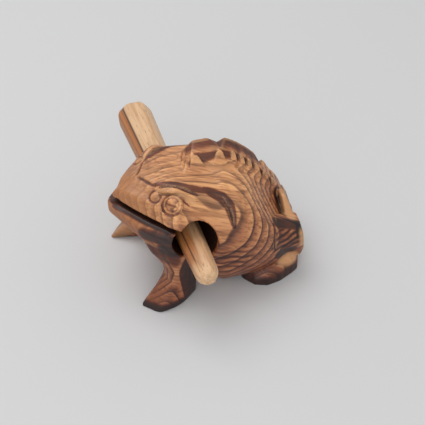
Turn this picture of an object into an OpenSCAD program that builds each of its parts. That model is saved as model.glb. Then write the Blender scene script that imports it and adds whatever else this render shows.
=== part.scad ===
// Frog guiro: a frog carved from one block of wood, with a notched spine, and the loose stick that
// is drawn along the notches to make it croak. The stick is kept in the bore through the cheeks.
// The frog faces -Y, its left side is +X, and it stands on z = 0.

/* [Body] */
// Reach of the jaw tip ahead of the origin
nose_reach = 43; // [40:0.5:48]
// Reach of the rump behind the origin
rump_reach = 34; // [32:0.5:40]
// Width across the flanks
body_w = 54; // [50:0.5:62]
// Height of the back under the spine
back_h = 50; // [48:0.5:56]
// How far behind the origin the back starts to fall
hump_y = 0; // [-3:0.5:5]
// Where the belly starts to rise towards the throat, ahead of the origin
belly_y = 3; // [0:0.5:6]

/* [Head] */
// Slope of the sawn mouth, rising to the front, in degrees
mouth_tilt = 9.5; // [5:0.5:12]
// Height of the sawn mouth
mouth_gap = 2.1; // [1.5:0.1:4]
// How far the jaw stands ahead of the upper lip
underbite = 2; // [0.5:0.25:3]
// Height of the upper lip's upright edge
lip_wall = 5; // [3:0.25:6]
// How far the crown starts behind the lip
snout_run = 10; // [8:0.5:13]
// Height of the crown at its front point
brow_h = 49.5; // [48:0.25:52]
// Width across the lips at the cheeks
cheek_w = 49; // [46:0.5:53]
// Distance of the cheeks ahead of the origin
cheek_y = 21.5; // [20:0.5:23]
// Width of the crown between the eyes
crown_w = 26; // [20:0.5:32]
// Depth of the jaw below the mouth
jaw_t = 9.2; // [8:0.2:10]
// How far the jaw bows out past a straight line from its tip to the cheeks
jaw_bow = 4.4; // [2:0.2:5]
// Depth of the bevel along the jaw's upper edge
jaw_bevel = 2.8; // [1.5:0.1:3.5]
// Width of the blunt lip and jaw tips
tip_w = 3; // [2:0.25:5]
// Diameter of the carved eye
eye_d = 8; // [5:0.25:9]
// How far the eye stands proud
eye_proud = 0.8; // [0.4:0.1:1.5]

/* [Sound chamber] */
// Diameter of the bore through the cheeks
bore_d = 16.8; // [16.4:0.2:18]
// Distance of the bore ahead of the origin
bore_y = 16.3; // [15:0.1:18]
// Height of the bore's axis
bore_z = 32; // [31:0.25:33]

/* [Spine] */
// Height of the spine's ridge above the back, at its front
tooth_h = 6.2; // [4:0.2:8]
// Height of the ridge above the back, at its tail
tail_tooth_h = 2.2; // [1:0.1:4]
// Width of the spine where it meets the back
spine_w = 12.4; // [10:0.2:14]
// Width of the spine's top
tooth_w = 6.8; // [5:0.2:8]
// Width of the widest chip along the spine
notch_w = 10.4; // [8:0.2:12]

/* [Front legs] */
// Distance between the outer edges of the front feet
toe_span = 50.4; // [46:0.2:54]
// Distance of the front toes ahead of the origin
toe_y = 37; // [34:0.5:40]
// Length of a front foot from toe to heel
foot_d = 23.8; // [20:0.2:26]
// Width of a front leg
leg_w = 14.7; // [12:0.1:16]
// Height at which a front leg runs into the jaw
leg_h = 31; // [29:0.5:32]
// How much further out the right front foot is set
right_splay = 5; // [0:0.25:6]

/* [Hind legs] */
// Distance between the outer edges of the hind feet
hind_span = 48; // [44:0.5:54]
// Distance of the hind toes behind the origin
hind_toe_y = 5.3; // [3:0.1:9]
// Distance of the hind heels behind the origin
heel_y = 28.6; // [26:0.1:31]
// Width of a hind foot
hind_foot_w = 14; // [11:0.25:16]
// Height of the hind foot at the heel
heel_h = 12.5; // [10:0.25:14]
// Height of the knee
knee_h = 28.8; // [26:0.2:31]
// Distance of the knee behind the origin
knee_y = 16.2; // [14:0.2:18]
// Length of the folded leg behind the knee
knee_d = 14.3; // [12:0.1:16]
// Height of the haunch
haunch_h = 31.8; // [29:0.2:33]

/* [Striker stick] */
// Length of the stick
stick_len = 105; // [95:1:130]
// Reach of the thin end past the frog's middle
stick_reach = 41; // [36:0.5:52]
// Width of the stick at its thin end
stick_thin_d = 8.4; // [7:0.2:12]
// Width of the stick at its thick end
stick_thick_d = 14.6; // [12:0.2:15.4]
// Length of the rounding at each end
stick_round = 2.4; // [1:0.2:4]
// Gap between the stick and the bore that carries it
stick_gap = 0.3; // [0.2:0.05:0.5]

/* [Hidden] */

// Smoothness: points round the torso, rings along each half of it, sides of the whittled stick
round_n = 32;
torso_n = 9;
stick_n = 8;
$fn = 64;

// How deep the pieces of the carving run into each other and below the ground
sunk = 2;

// Step for taking a slope
nudge = 0.5;

// Length that reaches past everything
far_out = 200;

// Mouth: a level of its own, measured from the bore that it is sawn into
mouth_rise = 3.5;
function lower_lip(y) = bore_z + mouth_rise - (bore_y + y) * tan(mouth_tilt);
function upper_lip(y) = lower_lip(y) + mouth_gap;

// Torso curves: the chest's widest height above the bore and the throat below that, the back's drop to
// the shoulders, and the roundness of the fall, throat and sections
chest_rise = 2.2;
throat_drop = 3.7;
shoulder_drop = 5;
fall_power = 1.5;
throat_power = 1.4;
upper_power = 2.05;
lower_power = 2.2;
rump_end = 0.97;

// Places along the torso, from the chest to the rump
chest_y = -cheek_y - sunk * 1.5;
torso_y = [
    for (i = [0 : torso_n - 1]) chest_y * (1 - i / torso_n),
    for (i = [0 : torso_n]) rump_reach * rump_end * sin(90 * i / torso_n)
];

// Share of the way at y from the hump to the rump, from the hump to the chest, from belly to chest
function fall(y) = max(0, y - hump_y) / (rump_reach - hump_y);
function rise(y) = max(0, hump_y - y) / (hump_y - chest_y);
function throat(y) = max(0, -belly_y - y) / (-belly_y - chest_y);

// Half width, back height, widest height and belly height of the torso at y
function half_w(y) = body_w / 2 * sqrt(1 - pow(y < 0 ? y / nose_reach : y / rump_reach, 2));
function back_z(y) = y < hump_y
    ? back_h - shoulder_drop * pow(rise(y), 2)
    : back_h * pow(1 - pow(fall(y), fall_power), 1 / fall_power);
function flank_z(y) = back_z(y) / 2 + (bore_z + chest_rise - back_h / 2) * pow(rise(y), 2);
function belly_z(y) = (bore_z + chest_rise - throat_drop) * pow(throat(y), throat_power) - sunk;

// Cosine or sine with its size raised to a power, for a rounded cross section
function soft(value, power) = sign(value) * pow(abs(value), 2 / power);

// Cross section of the torso at y
function torso_ring(y) = [
    for (i = [0 : round_n - 1])
        let (a = 360 * i / round_n, up = sin(a) > 0)
        let (power = up ? upper_power : lower_power)
        let (reach = up ? back_z(y) - flank_z(y) : flank_z(y) - belly_z(y))
        [half_w(y) * soft(cos(a), power), y, flank_z(y) + reach * soft(sin(a), power)]
];

// Level cross section at z through corners given as x and y
function level_ring(z, corners) = [for (p = corners) [p.x, p.y, z]];

// Roof-shaped cross section at y, with its ridge at ridge_x
function roof_ring(y, x0, x1, ridge_x, eaves, ridge) = [
    [x1, y, -sunk], [x1, y, eaves], [ridge_x, y, ridge], [x0, y, eaves], [x0, y, -sunk]
];

// A solid that joins a row of cross sections
module loft(rings) {
    count = len(rings[0]);
    last = len(rings) - 1;
    sides = [
        for (r = [0 : last - 1], i = [0 : count - 1])
            let (a = r * count + i, b = r * count + (i + 1) % count)
            each [[a, b, b + count], [a, b + count, a + count]]
    ];
    front = [for (i = [count - 1 : -1 : 0]) i];
    back = [for (i = [0 : count - 1]) last * count + i];
    polyhedron(points = [for (ring = rings) each ring], faces = concat(sides, [front, back]));
}

// The part again on the other side of the frog's middle
module both_sides() {
    children();
    mirror([1, 0, 0]) children();
}

// Flat hip chopped off each flank, through three points: shares of the half width, rump reach and back height
function hip_point(share) = [share.x * body_w / 2, share.y * rump_reach, share.z * back_h];
hip_top = hip_point([0.26, 0.52, 0.7]);
hip_low = hip_point([0.76, 0.38, 0.65]);
hip_deep = hip_point([0.44, 0.66, 0.51]);
hip_out = cross(hip_low - hip_top, hip_deep - hip_top);
module hip() {
    translate(hip_top)
        rotate([0, acos(hip_out.z / norm(hip_out)), atan2(hip_out.y, hip_out.x)])
        translate([-back_h / 2, -back_h / 2, 0])
        cube(back_h);
}

module torso() {
    difference() {
        loft([for (y = torso_y) torso_ring(y)]);
        both_sides() hip();
    }
}

// Head: a wedge in plan from the tip of the lip to the cheeks, a little bowed between them
lip_y = underbite - nose_reach;
crown_y = lip_y + snout_run;
brow_y = -(cheek_y - crown_y) / 2;
head_end = bore_d / 2 - bore_y;
lip_bow = 1.5;
lip_slant = 3;
crown_rise = 1;
function along_lip(y, tip) = min(1, (y - tip) / (-cheek_y - tip));
function lip_half(y, tip) =
    let (share = along_lip(y, tip))
    tip_w / 2 + (cheek_w - tip_w) / 2 * share + lip_bow * sin(180 * share);

// Half width and height of the crown at y
function along_crown(y) = max(0, y - crown_y) / (-cheek_y - crown_y);
function crown_half(y) = tip_w / 4 + (crown_w / 2 - tip_w / 4) * along_crown(y);
function crown_z(y) = y < crown_y
    ? upper_lip(lip_y) + sunk + (brow_h - upper_lip(lip_y) - sunk) * (y - lip_y) / snout_run
    : brow_h + crown_rise * along_crown(y);

// Points of the head's near side at y: the lip, the top of the lip's wall and the edge of the crown
function lip_at(y) = [lip_half(y, lip_y), y, upper_lip(y) - mouth_gap / 4];
function wall_at(y) = [
    max(tip_w / 3, lip_half(y, lip_y) - lip_slant),
    y,
    min(upper_lip(y) + lip_wall, crown_z(y) - sunk / 4)
];
function crown_at(y) = [crown_half(y), y, crown_z(y)];
function head_ring(y) =
    let (half = [lip_at(y), wall_at(y), crown_at(y)])
    concat(half, [for (i = [2 : -1 : 0]) [-half[i].x, y, half[i].z]]);

// The head's last cross section, narrower and inside the torso
neck_share = 0.8;
function neck_ring(y) = [for (p = head_ring(-cheek_y)) [p.x * neck_share, y, p.z - sunk / 2]];

module upper_head() {
    face_y = [lip_y, crown_y, brow_y, -cheek_y];
    loft(concat([for (y = face_y) head_ring(y)], [neck_ring(head_end)]));
}

// Lower jaw: a wider wedge under the mouth, with its upper edge bevelled off. Shares of its length at which
// it is cut across, and of its depth and bevel that are left at its tip; each is whole after its run
jaw_cuts = [0, 0.07, 0.18, 0.35, 0.55, 0.78, 1];
jaw_tip = 0.54;
jaw_run = 0.5;
bevel_tip = 0.3;
bevel_run = 0.33;
jaw_lean = 0.2;
bow_power = 1.2;
function jaw_half(y) =
    let (share = along_lip(y, -nose_reach))
    tip_w / 2 + (cheek_w - tip_w) / 2 * share + jaw_bow * pow(sin(180 * share), bow_power);
function grown(share, tip, run) = tip + (1 - tip) * min(1, share / run);
function jaw_ring(y) =
    let (share = along_lip(y, -nose_reach), half = jaw_half(y), high = lower_lip(y))
    let (lip = min(lip_half(max(y, lip_y), lip_y), half - tip_w / 4))
    let (rim = high - jaw_bevel * grown(share, bevel_tip, bevel_run))
    let (low = high - jaw_t * grown(share, jaw_tip, jaw_run))
    let (side = [
        [half - (rim - low) * jaw_lean, y, low],
        [half, y, rim],
        [lip, y, high],
        [lip, y, high + mouth_gap / 4]
    ])
    concat(side, [for (i = [3 : -1 : 0]) [-side[i].x, y, side[i].z]]);

module jaw() {
    loft(concat(
        [for (share = jaw_cuts) jaw_ring(-nose_reach + (nose_reach - cheek_y) * share)],
        [[for (p = jaw_ring(-cheek_y)) [p.x - sign(p.x) * sunk, head_end, p.z]]]
    ));
}

// Round eye on the slanting side of the head, a little under half way up it
eye_y = -cheek_y - eye_d / 4;
eye_share = 0.4;
eye_at = wall_at(eye_y) * (1 - eye_share) + crown_at(eye_y) * eye_share;
eye_up = cross(wall_at(eye_y + nudge) - wall_at(eye_y - nudge), crown_at(eye_y) - wall_at(eye_y));
module eye() {
    translate(eye_at)
        rotate([0, acos(eye_up.z / norm(eye_up)), atan2(eye_up.y, eye_up.x)])
        translate([0, 0, -eye_d / 2])
        cylinder(d = eye_d, h = eye_d / 2 + eye_proud);
}

// Spine: a raised band along the back, higher along its right edge, from behind the crown to the rump
spine_lead = 8.1;
tail_share = 0.86;
spine_start = head_end - spine_lead;
spine_end = rump_reach * tail_share;
spine_rings = 20;

// The higher edge's height by the ridge's, and the places of the left edge, the ridge and the higher edge
// across the spine's top
crest_share = 1.4;
left_share = 0.4;
ridge_share = 0.12;
right_share = 0.6;
function spine_at(share) = spine_start + (spine_end - spine_start) * share;

// Height of the ridge above the back, and the share of it that stands as it rises out of the crown
lead_share = 0.15;
function ridge_at(share) = tooth_h + (tail_tooth_h - tooth_h) * share;
function lead_at(share) = min(1, share / lead_share);

// Slope of the back at y, in degrees, and a point by the spine: across, along and square to the back
function back_slope(y) = atan2(back_z(y + nudge) - back_z(y - nudge), 2 * nudge);
function on_back(share, x, up) =
    let (y = spine_at(share), slope = back_slope(y))
    [x, y - up * sin(slope), back_z(y) + up * cos(slope)];
function spine_ring(share) =
    let (up = ridge_at(share) * lead_at(share))
    [
        on_back(share, spine_w / 2, -sunk),
        on_back(share, tooth_w * left_share, up),
        on_back(share, tooth_w * ridge_share, up),
        on_back(share, -tooth_w * right_share, up * crest_share),
        on_back(share, -spine_w / 2, -sunk)
    ];

module spine() {
    loft([for (i = [0 : spine_rings]) spine_ring(i / spine_rings)]);
}

// Place along the spine of each chip on its left flank, with the chip's share of the widest one's width
chips = [
    [0.09, 0.58], [0.26, 1], [0.4, 0.52], [0.48, 0.31], [0.55, 0.29],
    [0.615, 0.29], [0.69, 0.35], [0.775, 0.35], [0.86, 0.35], [0.94, 0.31]
];

// Place along the spine of each V cut on its right flank, with the spread of the V's sides, and the share of
// the ridge's height at which the cuts come out
cuts = [[0.37, 0.9], [0.72, 1.3], [0.82, 1.3], [0.94, 1.3]];
cut_share = 0.7;

// Height above the spine's ridge that every cut clears
clear_h = tooth_h * 2;

// Three-cornered chip: wide on the ridge, running down to a point at the spine's foot
chip_point = 0.1;
function chip_ring(x, low, half) = [[x, half, low], [x, -half, low], [x, -half, clear_h], [x, half, clear_h]];
module chip(share, width) {
    loft([
        chip_ring(tooth_w * ridge_share, ridge_at(share), width / 2),
        chip_ring(spine_w / 2, 0, chip_point)
    ]);
}

// V cut from the ridge out through the higher edge
function cut_ring(x, low, half) = [[x, 0, low], [x, half, low + clear_h], [x, -half, low + clear_h]];
module cut(share, spread) {
    loft([
        cut_ring(tooth_w * ridge_share, ridge_at(share), spread * clear_h),
        cut_ring(-spine_w / 2, ridge_at(share) * cut_share, spread * clear_h)
    ]);
}

// Set a shape on the back at its place along the spine, square to it
module at_spine(share) {
    y = spine_at(share);
    translate([0, y, back_z(y)])
        rotate([back_slope(y), 0, 0])
        children();
}

module notches() {
    for (c = chips) at_spine(c[0]) chip(c[0], c[1] * notch_w);
    for (c = cuts) at_spine(c[0]) cut(c[0], c[1]);
}

// Front leg: it leans back from the jaw to the ankle and forward again into the foot. Each edge of it has its
// way back from the toe, then its way in from the foot's outer edge, by share of the leg's height
leg_levels = [0.1, 0.225, 0.39, 0.55, 0.775, 1];
shin = [
    [[0, 0], [0.1, 0.135], [0.39, 0.425], [0.55, 0.4], [1, 0.085]],
    [[0, 0.49], [0.39, 0.625], [1, 0.8]]
];
ball = [
    [[0, 0.245], [0.39, 0.495], [1, 0.525]],
    [[0, 0], [0.39, 0.165], [1, 0.18]]
];
ankle = [
    [[0, 0.64], [1, 0.8]],
    [[0, 0.12], [1, 0.19]]
];
heel = [
    [[0, 1], [1, 0.905]],
    [[0, 0.625], [1, 0.32]]
];
inner_heel = [
    [[0, 0.945], [0.39, 0.945], [1, 0.84]],
    [[0, 0.85], [0.39, 1], [1, 1]]
];
inner_shin = [
    [[0, 0.335], [0.39, 0.525], [0.55, 0.485], [1, 0.19]],
    [[0, 0.6], [0.225, 0.8], [0.39, 0.98], [1, 1]]
];
leg_edges = [inner_shin, inner_heel, heel, ankle, ball, shin];

// Share of the leg's height below which the splayed leg is set further out
splay_share = 0.8;
function splay_at(h, splay) = splay * max(0, 1 - h / splay_share);
function leg_corner(edge, h) =
    [toe_span / 2 - leg_w * lookup(h, edge[1]), foot_d * lookup(h, edge[0]) - toe_y];
function leg_ring(z, h, splay) =
    level_ring(z, [for (edge = leg_edges) leg_corner(edge, h) + [splay_at(h, splay), 0]]);
module front_leg(splay) {
    loft(concat(
        [leg_ring(-sunk / 2, 0, splay)],
        [for (h = leg_levels) leg_ring(leg_h * h, h, splay)]
    ));
}

// Hind foot: roof-shaped sections from toe to heel. Each has its place along the foot, the way in of its
// outer edge and ridge as shares of the foot's width, and its eaves and ridge as shares of the heel's height
hind_rows = [
    [0, 0.5, 0.64, 0.2, 0.28],
    [0.15, 0.15, 0.43, 0.24, 0.48],
    [0.35, 0.015, 0.32, 0.32, 0.68],
    [0.59, 0.08, 0.39, 0.4, 0.8],
    [0.84, 0.27, 0.46, 0.56, 0.96],
    [1, 0.43, 0.54, 0.64, 1]
];
function hind_x(share) = hind_span / 2 - hind_foot_w * share;
module hind_foot() {
    loft([
        for (row = hind_rows)
            roof_ring(
                hind_toe_y + (heel_y - hind_toe_y) * row[0],
                hind_x(1), hind_x(row[1]), hind_x(row[2]), heel_h * row[3], heel_h * row[4]
            )
    ]);
}

// Folded leg over the foot: share of the knee's height, then the way in and back of its corners: outer front,
// outer rear, inner rear and inner front
knee_rows = [
    [0.28, [0.5, 0.265], [0.32, 0.88], [0.86, 0.93], [0.86, 0.265]],
    [0.435, [0.3, 0.125], [0.265, 0.935], [0.86, 1], [0.86, 0.125]],
    [0.59, [0.1, 0.03], [0.17, 0.89], [0.86, 1], [0.86, 0.055]],
    [0.73, [0.085, 0], [0.17, 0.86], [0.86, 0.965], [0.86, 0.02]],
    [0.87, [0.17, 0.015], [0.335, 0.82], [0.86, 0.86], [0.86, 0.02]],
    [1, [0.37, 0.04], [0.5, 0.17], [0.64, 0.125], [0.64, 0.02]]
];
function knee_at(share) = [hind_x(share.x), knee_y + knee_d * share.y];
module folded(rows, height) {
    loft([for (row = rows) level_ring(height * row[0], [for (i = [4 : -1 : 1]) knee_at(row[i])])]);
}

// Haunch between the folded leg and the spine's tail: share of its height, then the same corners
haunch_rows = [
    [0.57, [0.46, 0.46], [0.5, 0.825], [1.43, 1], [1.43, 0.4]],
    [0.79, [0.61, 0.5], [0.64, 0.75], [1.43, 0.87], [1.43, 0.475]],
    [0.91, [0.86, 0.52], [0.89, 0.69], [1.43, 0.74], [1.43, 0.5]],
    [1, [1.07, 0.53], [1.09, 0.64], [1.43, 0.66], [1.43, 0.53]]
];
module hind_leg() {
    hind_foot();
    folded(knee_rows, knee_h);
    folded(haunch_rows, haunch_h);
}

// Bore through the cheeks, the mouth sawn back into it, and all that lies under the ground
module hollows() {
    translate([0, -bore_y, bore_z])
        rotate([0, 90, 0])
        cylinder(d = bore_d, h = far_out, center = true);
    rotate([90, 0, 90])
        linear_extrude(height = far_out, center = true)
        polygon([
            [-far_out, lower_lip(-far_out)],
            [-bore_y, lower_lip(-bore_y)],
            [-bore_y, upper_lip(-bore_y)],
            [-far_out, upper_lip(-far_out)]
        ]);
    translate([-far_out / 2, -far_out / 2, -far_out])
        cube(far_out);
}

module frog_body() {
    color("peru")
        difference() {
            union() {
                torso();
                upper_head();
                jaw();
                both_sides() {
                    eye();
                    hind_leg();
                }
                front_leg(0);
                mirror([1, 0, 0]) front_leg(right_splay);
                difference() {
                    spine();
                    notches();
                }
            }
            hollows();
        }
}

// Width of the stick at x, and its whittled cross section there, lying in the bottom of the bore
function stick_d(x) = stick_thin_d + (stick_thick_d - stick_thin_d) * (stick_reach - x) / stick_len;
function stick_ring(x, shrink) =
    let (r = stick_d(x) / 2, low = bore_z - bore_d / 2 + stick_gap)
    [
        for (i = [0 : stick_n - 1])
            let (a = -90 - 360 * i / stick_n)
            [x, -bore_y + r * shrink * cos(a), low + r + r * shrink * sin(a)]
    ];

// Each end is whittled round in two steps: how much of the stick's width is left at each
end_share = 0.65;
step_share = 0.88;
module striker_stick() {
    thin_end = stick_reach;
    thick_end = stick_reach - stick_len;
    step = stick_round / 3;
    color("burlywood")
        loft([
            stick_ring(thick_end, end_share),
            stick_ring(thick_end + step, step_share),
            stick_ring(thick_end + stick_round, 1),
            stick_ring(thin_end - stick_round, 1),
            stick_ring(thin_end - step, step_share),
            stick_ring(thin_end, end_share)
        ]);
}

frog_body();
striker_stick();
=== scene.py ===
"""Frog guiro: a frog carved from ring-figured wood and the whittled stick that plays it.

The frog is carved as a field of distances, in millimetres, and skinned into one mesh. The stick is a
Geometry Nodes rule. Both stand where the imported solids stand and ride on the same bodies.
The frog faces -Y, its left side is +X, and it stands on z = 0.
"""

import logging
import math
from dataclasses import dataclass, field
from enum import Enum
from typing import Callable, Sequence

import bpy
import numpy as np
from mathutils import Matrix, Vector


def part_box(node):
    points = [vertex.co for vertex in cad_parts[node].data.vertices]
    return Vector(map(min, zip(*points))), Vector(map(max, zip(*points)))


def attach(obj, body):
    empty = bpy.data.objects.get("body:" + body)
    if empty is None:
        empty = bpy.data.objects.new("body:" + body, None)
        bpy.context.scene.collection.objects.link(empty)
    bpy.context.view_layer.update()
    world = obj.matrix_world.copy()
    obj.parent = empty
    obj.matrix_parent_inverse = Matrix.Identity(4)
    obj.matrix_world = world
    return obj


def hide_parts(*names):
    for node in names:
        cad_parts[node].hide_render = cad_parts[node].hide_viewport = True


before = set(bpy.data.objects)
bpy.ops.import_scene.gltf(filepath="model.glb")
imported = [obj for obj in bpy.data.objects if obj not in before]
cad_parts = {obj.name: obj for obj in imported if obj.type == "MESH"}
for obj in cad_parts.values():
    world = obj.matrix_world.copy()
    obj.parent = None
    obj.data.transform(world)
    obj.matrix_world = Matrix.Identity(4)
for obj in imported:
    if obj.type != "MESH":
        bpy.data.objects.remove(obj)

LOG = logging.getLogger("frog_guiro")
MM = 0.001
TINY = 1e-6
SEAT_ROUNDS = 4
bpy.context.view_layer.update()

Array = np.ndarray
Point = tuple[float, float, float]
Span = tuple[float, float]
Colour = tuple[float, float, float, float]
Field = Callable[[Array], Array]
Socket = bpy.types.NodeSocket


class Side(Enum):
    """Side of the frog's middle plane: its left, which is +X, or its right."""

    LEFT = 1.0
    RIGHT = -1.0


def soft_max(a: Array, b: Array, blend: float) -> Array:
    """Take the larger of two distances, with the corner between them rounded.

    Args:
        a: First distances.
        b: Second distances.
        blend: Width over which the two run into each other.

    Returns:
        The blended distances.
    """
    share = np.clip(0.5 + 0.5 * (a - b) / blend, 0.0, 1.0)
    return b + (a - b) * share + blend * share * (1.0 - share)


def soft_min(a: Array, b: Array, blend: float) -> Array:
    """Take the smaller of two distances, with the corner between them filled."""
    return -soft_max(-a, -b, blend)


def share_of(value: Array, low: float, high: float) -> Array:
    """How far values lie on the way from low to high, from 0 to 1."""
    return np.clip((value - low) / (high - low), 0.0, 1.0)


def step_up(value: Array, low: float, high: float) -> Array:
    """Rise smoothly from 0 at low to 1 at high."""
    share = share_of(value, low, high)
    return share * share * (3.0 - 2.0 * share)


def mirrored(p: Array) -> Array:
    """Fold points over to the frog's left side."""
    return np.column_stack([np.abs(p[:, 0]), p[:, 1], p[:, 2]])


def edge_distance(across: Array, up: Array, start: tuple[Array, Array], end: tuple[Array, Array]) -> Array:
    """Measure how far points lie outside a slanting edge of a cross section.

    Args:
        across: Distance of the points from the middle plane.
        up: Height of the points.
        start: Upper, inner end of the edge, as across and up.
        end: Lower, outer end of the edge.

    Returns:
        Signed distances, positive outside.
    """
    run, drop = end[0] - start[0], start[1] - end[1]
    length = np.hypot(run, drop) + TINY
    return ((across - start[0]) * drop + (up - start[1]) * run) / length


def line_distance(p: Array, points: Array) -> tuple[Array, Array]:
    """Measure how far points lie from a line of straight stretches.

    Args:
        p: Points to measure from.
        points: Points that the line runs through.

    Returns:
        The distances, and how far along the line the nearest place is, from 0 to 1.
    """
    best, share = np.full(len(p), np.inf), np.zeros(len(p))
    count = len(points) - 1
    for number, (start, end) in enumerate(zip(points[:-1], points[1:])):
        along = end - start
        part = np.clip((p - start) @ along / (along @ along), 0.0, 1.0)
        away = np.linalg.norm(p - start - part[:, None] * along, axis=1)
        share = np.where(away < best, (number + part) / count, share)
        best = np.minimum(best, away)
    return best, share


def slope_of(shape: Field, p: Array, reach: float = 0.05) -> Array:
    """Find a field's slope at some points by small steps each way."""
    steps = np.eye(3) * reach
    return np.column_stack([(shape(p + s) - shape(p - s)) / (2.0 * reach) for s in steps])


def settle(shape: Field, p: Array, rounds: int = 2, limit: float = 4.0, flattest: float = 0.05) -> Array:
    """Move points on to the surface of a field.

    Args:
        shape: Field of distances.
        p: Points near its surface.
        rounds: Number of corrections.
        limit: Longest move in one correction.
        flattest: Least squared slope that a correction reckons with.

    Returns:
        The points, moved.
    """
    for _ in range(rounds):
        slope = slope_of(shape, p)
        steep = np.maximum((slope**2).sum(axis=1), flattest)
        move = np.clip(shape(p) / np.sqrt(steep), -limit, limit) / np.sqrt(steep)
        p = p - slope * move[:, None]
    return p


def store(mesh: bpy.types.Mesh, **layers: Array) -> None:
    """Store a value for each of a mesh's points, as attributes of the given names."""
    for name, values in layers.items():
        mesh.attributes.new(name, "FLOAT", "POINT").data.foreach_set("value", values.astype(np.float32))


@dataclass(frozen=True)
class SkinGrid:
    """Grid on which a field of distances is skinned.

    Attributes:
        low: Lowest corner.
        high: Highest corner.
        cell: Width of a grid cell.
    """

    low: Point
    high: Point
    cell: float

    def skin(self, shape: Field) -> tuple[Array, Array]:
        """Skin the surface where the field is zero with four-sided faces.

        Args:
            shape: Field of distances, negative inside.

        Returns:
            The points and the faces, wound outwards.
        """
        axes = [np.arange(a, b + self.cell, self.cell) for a, b in zip(self.low, self.high)]
        size = tuple(len(axis) for axis in axes)
        grid = np.stack(np.meshgrid(*axes, indexing="ij"), axis=-1).reshape(-1, 3)
        value = shape(grid).reshape(size)
        points, index = self.cell_points(value)
        faces = [self.faces_across(value, index, axis) for axis in range(3)]
        return points * self.cell + np.array(self.low), np.concatenate(faces)

    @staticmethod
    def cell_points(value: Array) -> tuple[Array, Array]:
        """Put a point in each cell that the surface passes through.

        Args:
            value: Distances on the grid.

        Returns:
            The points, in cells, and each cell's point number or -1.
        """
        cells = tuple(n - 1 for n in value.shape)
        total = np.zeros(cells + (3,), np.float32)
        count = np.zeros(cells, np.float32)
        for axis in range(3):
            others = [a for a in range(3) if a != axis]
            first = np.take(value, range(cells[axis]), axis)
            second = np.take(value, range(1, cells[axis] + 1), axis)
            crossed = (first < 0) != (second < 0)
            share = np.where(crossed, first / np.where(crossed, first - second, 1.0), 0.0)
            for corner in ((0, 0), (0, 1), (1, 0), (1, 1)):
                part = [slice(None)] * 3
                for other, shift in zip(others, corner):
                    part[other] = slice(shift, shift + cells[other])
                hit = crossed[tuple(part)]
                count += hit
                total[..., axis] += share[tuple(part)]
                for other, shift in zip(others, corner):
                    total[..., other] += hit * shift
        active = count > 0
        index = np.full(cells, -1, np.int64)
        index[active] = np.arange(active.sum())
        return np.argwhere(active) + total[active] / count[active][:, None], index

    @staticmethod
    def faces_across(value: Array, index: Array, axis: int) -> Array:
        """Make the faces that cross the grid's edges along one axis.

        Args:
            value: Distances on the grid.
            index: Point number of each cell.
            axis: Direction of the edges.

        Returns:
            The faces as rows of four point numbers.
        """
        first, second = (axis + 1) % 3, (axis + 2) % 3
        inner = [slice(1, n - 1) for n in value.shape]
        inner[axis] = slice(0, value.shape[axis] - 1)
        start = value[tuple(inner)]
        inner[axis] = slice(1, value.shape[axis])
        end = value[tuple(inner)]
        where = np.argwhere((start < 0) != (end < 0))
        outward = (start < 0)[tuple(where.T)]
        shift = np.zeros(3, int)
        shift[[first, second]] = 1
        corner = where + shift
        rows = []
        for back_first, back_second in ((0, 0), (1, 0), (1, 1), (0, 1)):
            cell = corner.copy()
            cell[:, first] -= back_first
            cell[:, second] -= back_second
            rows.append(index[tuple(cell.T)])
        faces = np.stack(rows, axis=1)
        return np.where(outward[:, None], faces, faces[:, ::-1])


@dataclass(frozen=True)
class Torso:
    """Round body of the frog, as cross sections along Y, in millimetres.

    Attributes:
        nose_reach: Reach of the jaw's tip ahead of the origin.
        rump_reach: Reach that the rump would have behind it if it weren't cut off.
        width: Width across the flanks.
        back_height: Height of the back under the spine.
        rump_end: Share of the rump's reach at which it is cut off.
    """

    nose_reach: float
    rump_reach: float
    width: float
    back_height: float = 50.0
    chest_y: float = -24.5
    chest_height: float = 34.2
    belly_y: float = -3.0
    throat_height: float = 30.5
    shoulder_drop: float = 5.0
    fall_power: float = 1.5
    fall_most: float = 0.999
    throat_power: float = 1.4
    upper_power: float = 2.05
    lower_power: float = 2.2
    sunk: float = 2.0
    rump_end: float = 0.97
    rump_blend: float = 2.0
    chest_blend: float = 1.0

    def back(self, y: Array) -> Array:
        """Find the height of the back.

        Args:
            y: Places along the frog.

        Returns:
            The heights there.
        """
        ahead = self.back_height - self.shoulder_drop * (np.minimum(y, 0.0) / self.chest_y) ** 2
        fall = np.clip(y / self.rump_reach, 0.0, self.fall_most) ** self.fall_power
        return np.where(y < 0.0, ahead, self.back_height * (1.0 - fall) ** (1.0 / self.fall_power))

    def distance(self, p: Array) -> Array:
        """Measure how far points lie outside the torso.

        Args:
            p: Points.

        Returns:
            Signed distances, negative inside.
        """
        across, y, z = np.abs(p[:, 0]), p[:, 1], p[:, 2]
        end = self.rump_reach * self.rump_end
        at = np.clip(y, self.chest_y, end)
        reach_y = np.where(at < 0.0, self.nose_reach, self.rump_reach)
        half = self.width / 2.0 * np.sqrt(1.0 - (at / reach_y) ** 2)
        rise = (np.minimum(at, 0.0) / self.chest_y) ** 2
        back = self.back(at)
        flank = back / 2.0 + (self.chest_height - self.back_height / 2.0) * rise
        throat = share_of(at, self.belly_y, self.chest_y)
        belly = self.throat_height * throat**self.throat_power - self.sunk
        upper = z > flank
        reach = np.where(upper, back - flank, flank - belly)
        power = np.where(upper, self.upper_power, self.lower_power)
        ratio = (across / half) ** power + (np.abs(z - flank) / reach) ** power
        skin = (ratio ** (1.0 / power) - 1.0) * np.minimum(half, reach)
        return soft_max(soft_max(skin, y - end, self.rump_blend), self.chest_y - y, self.chest_blend)


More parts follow.
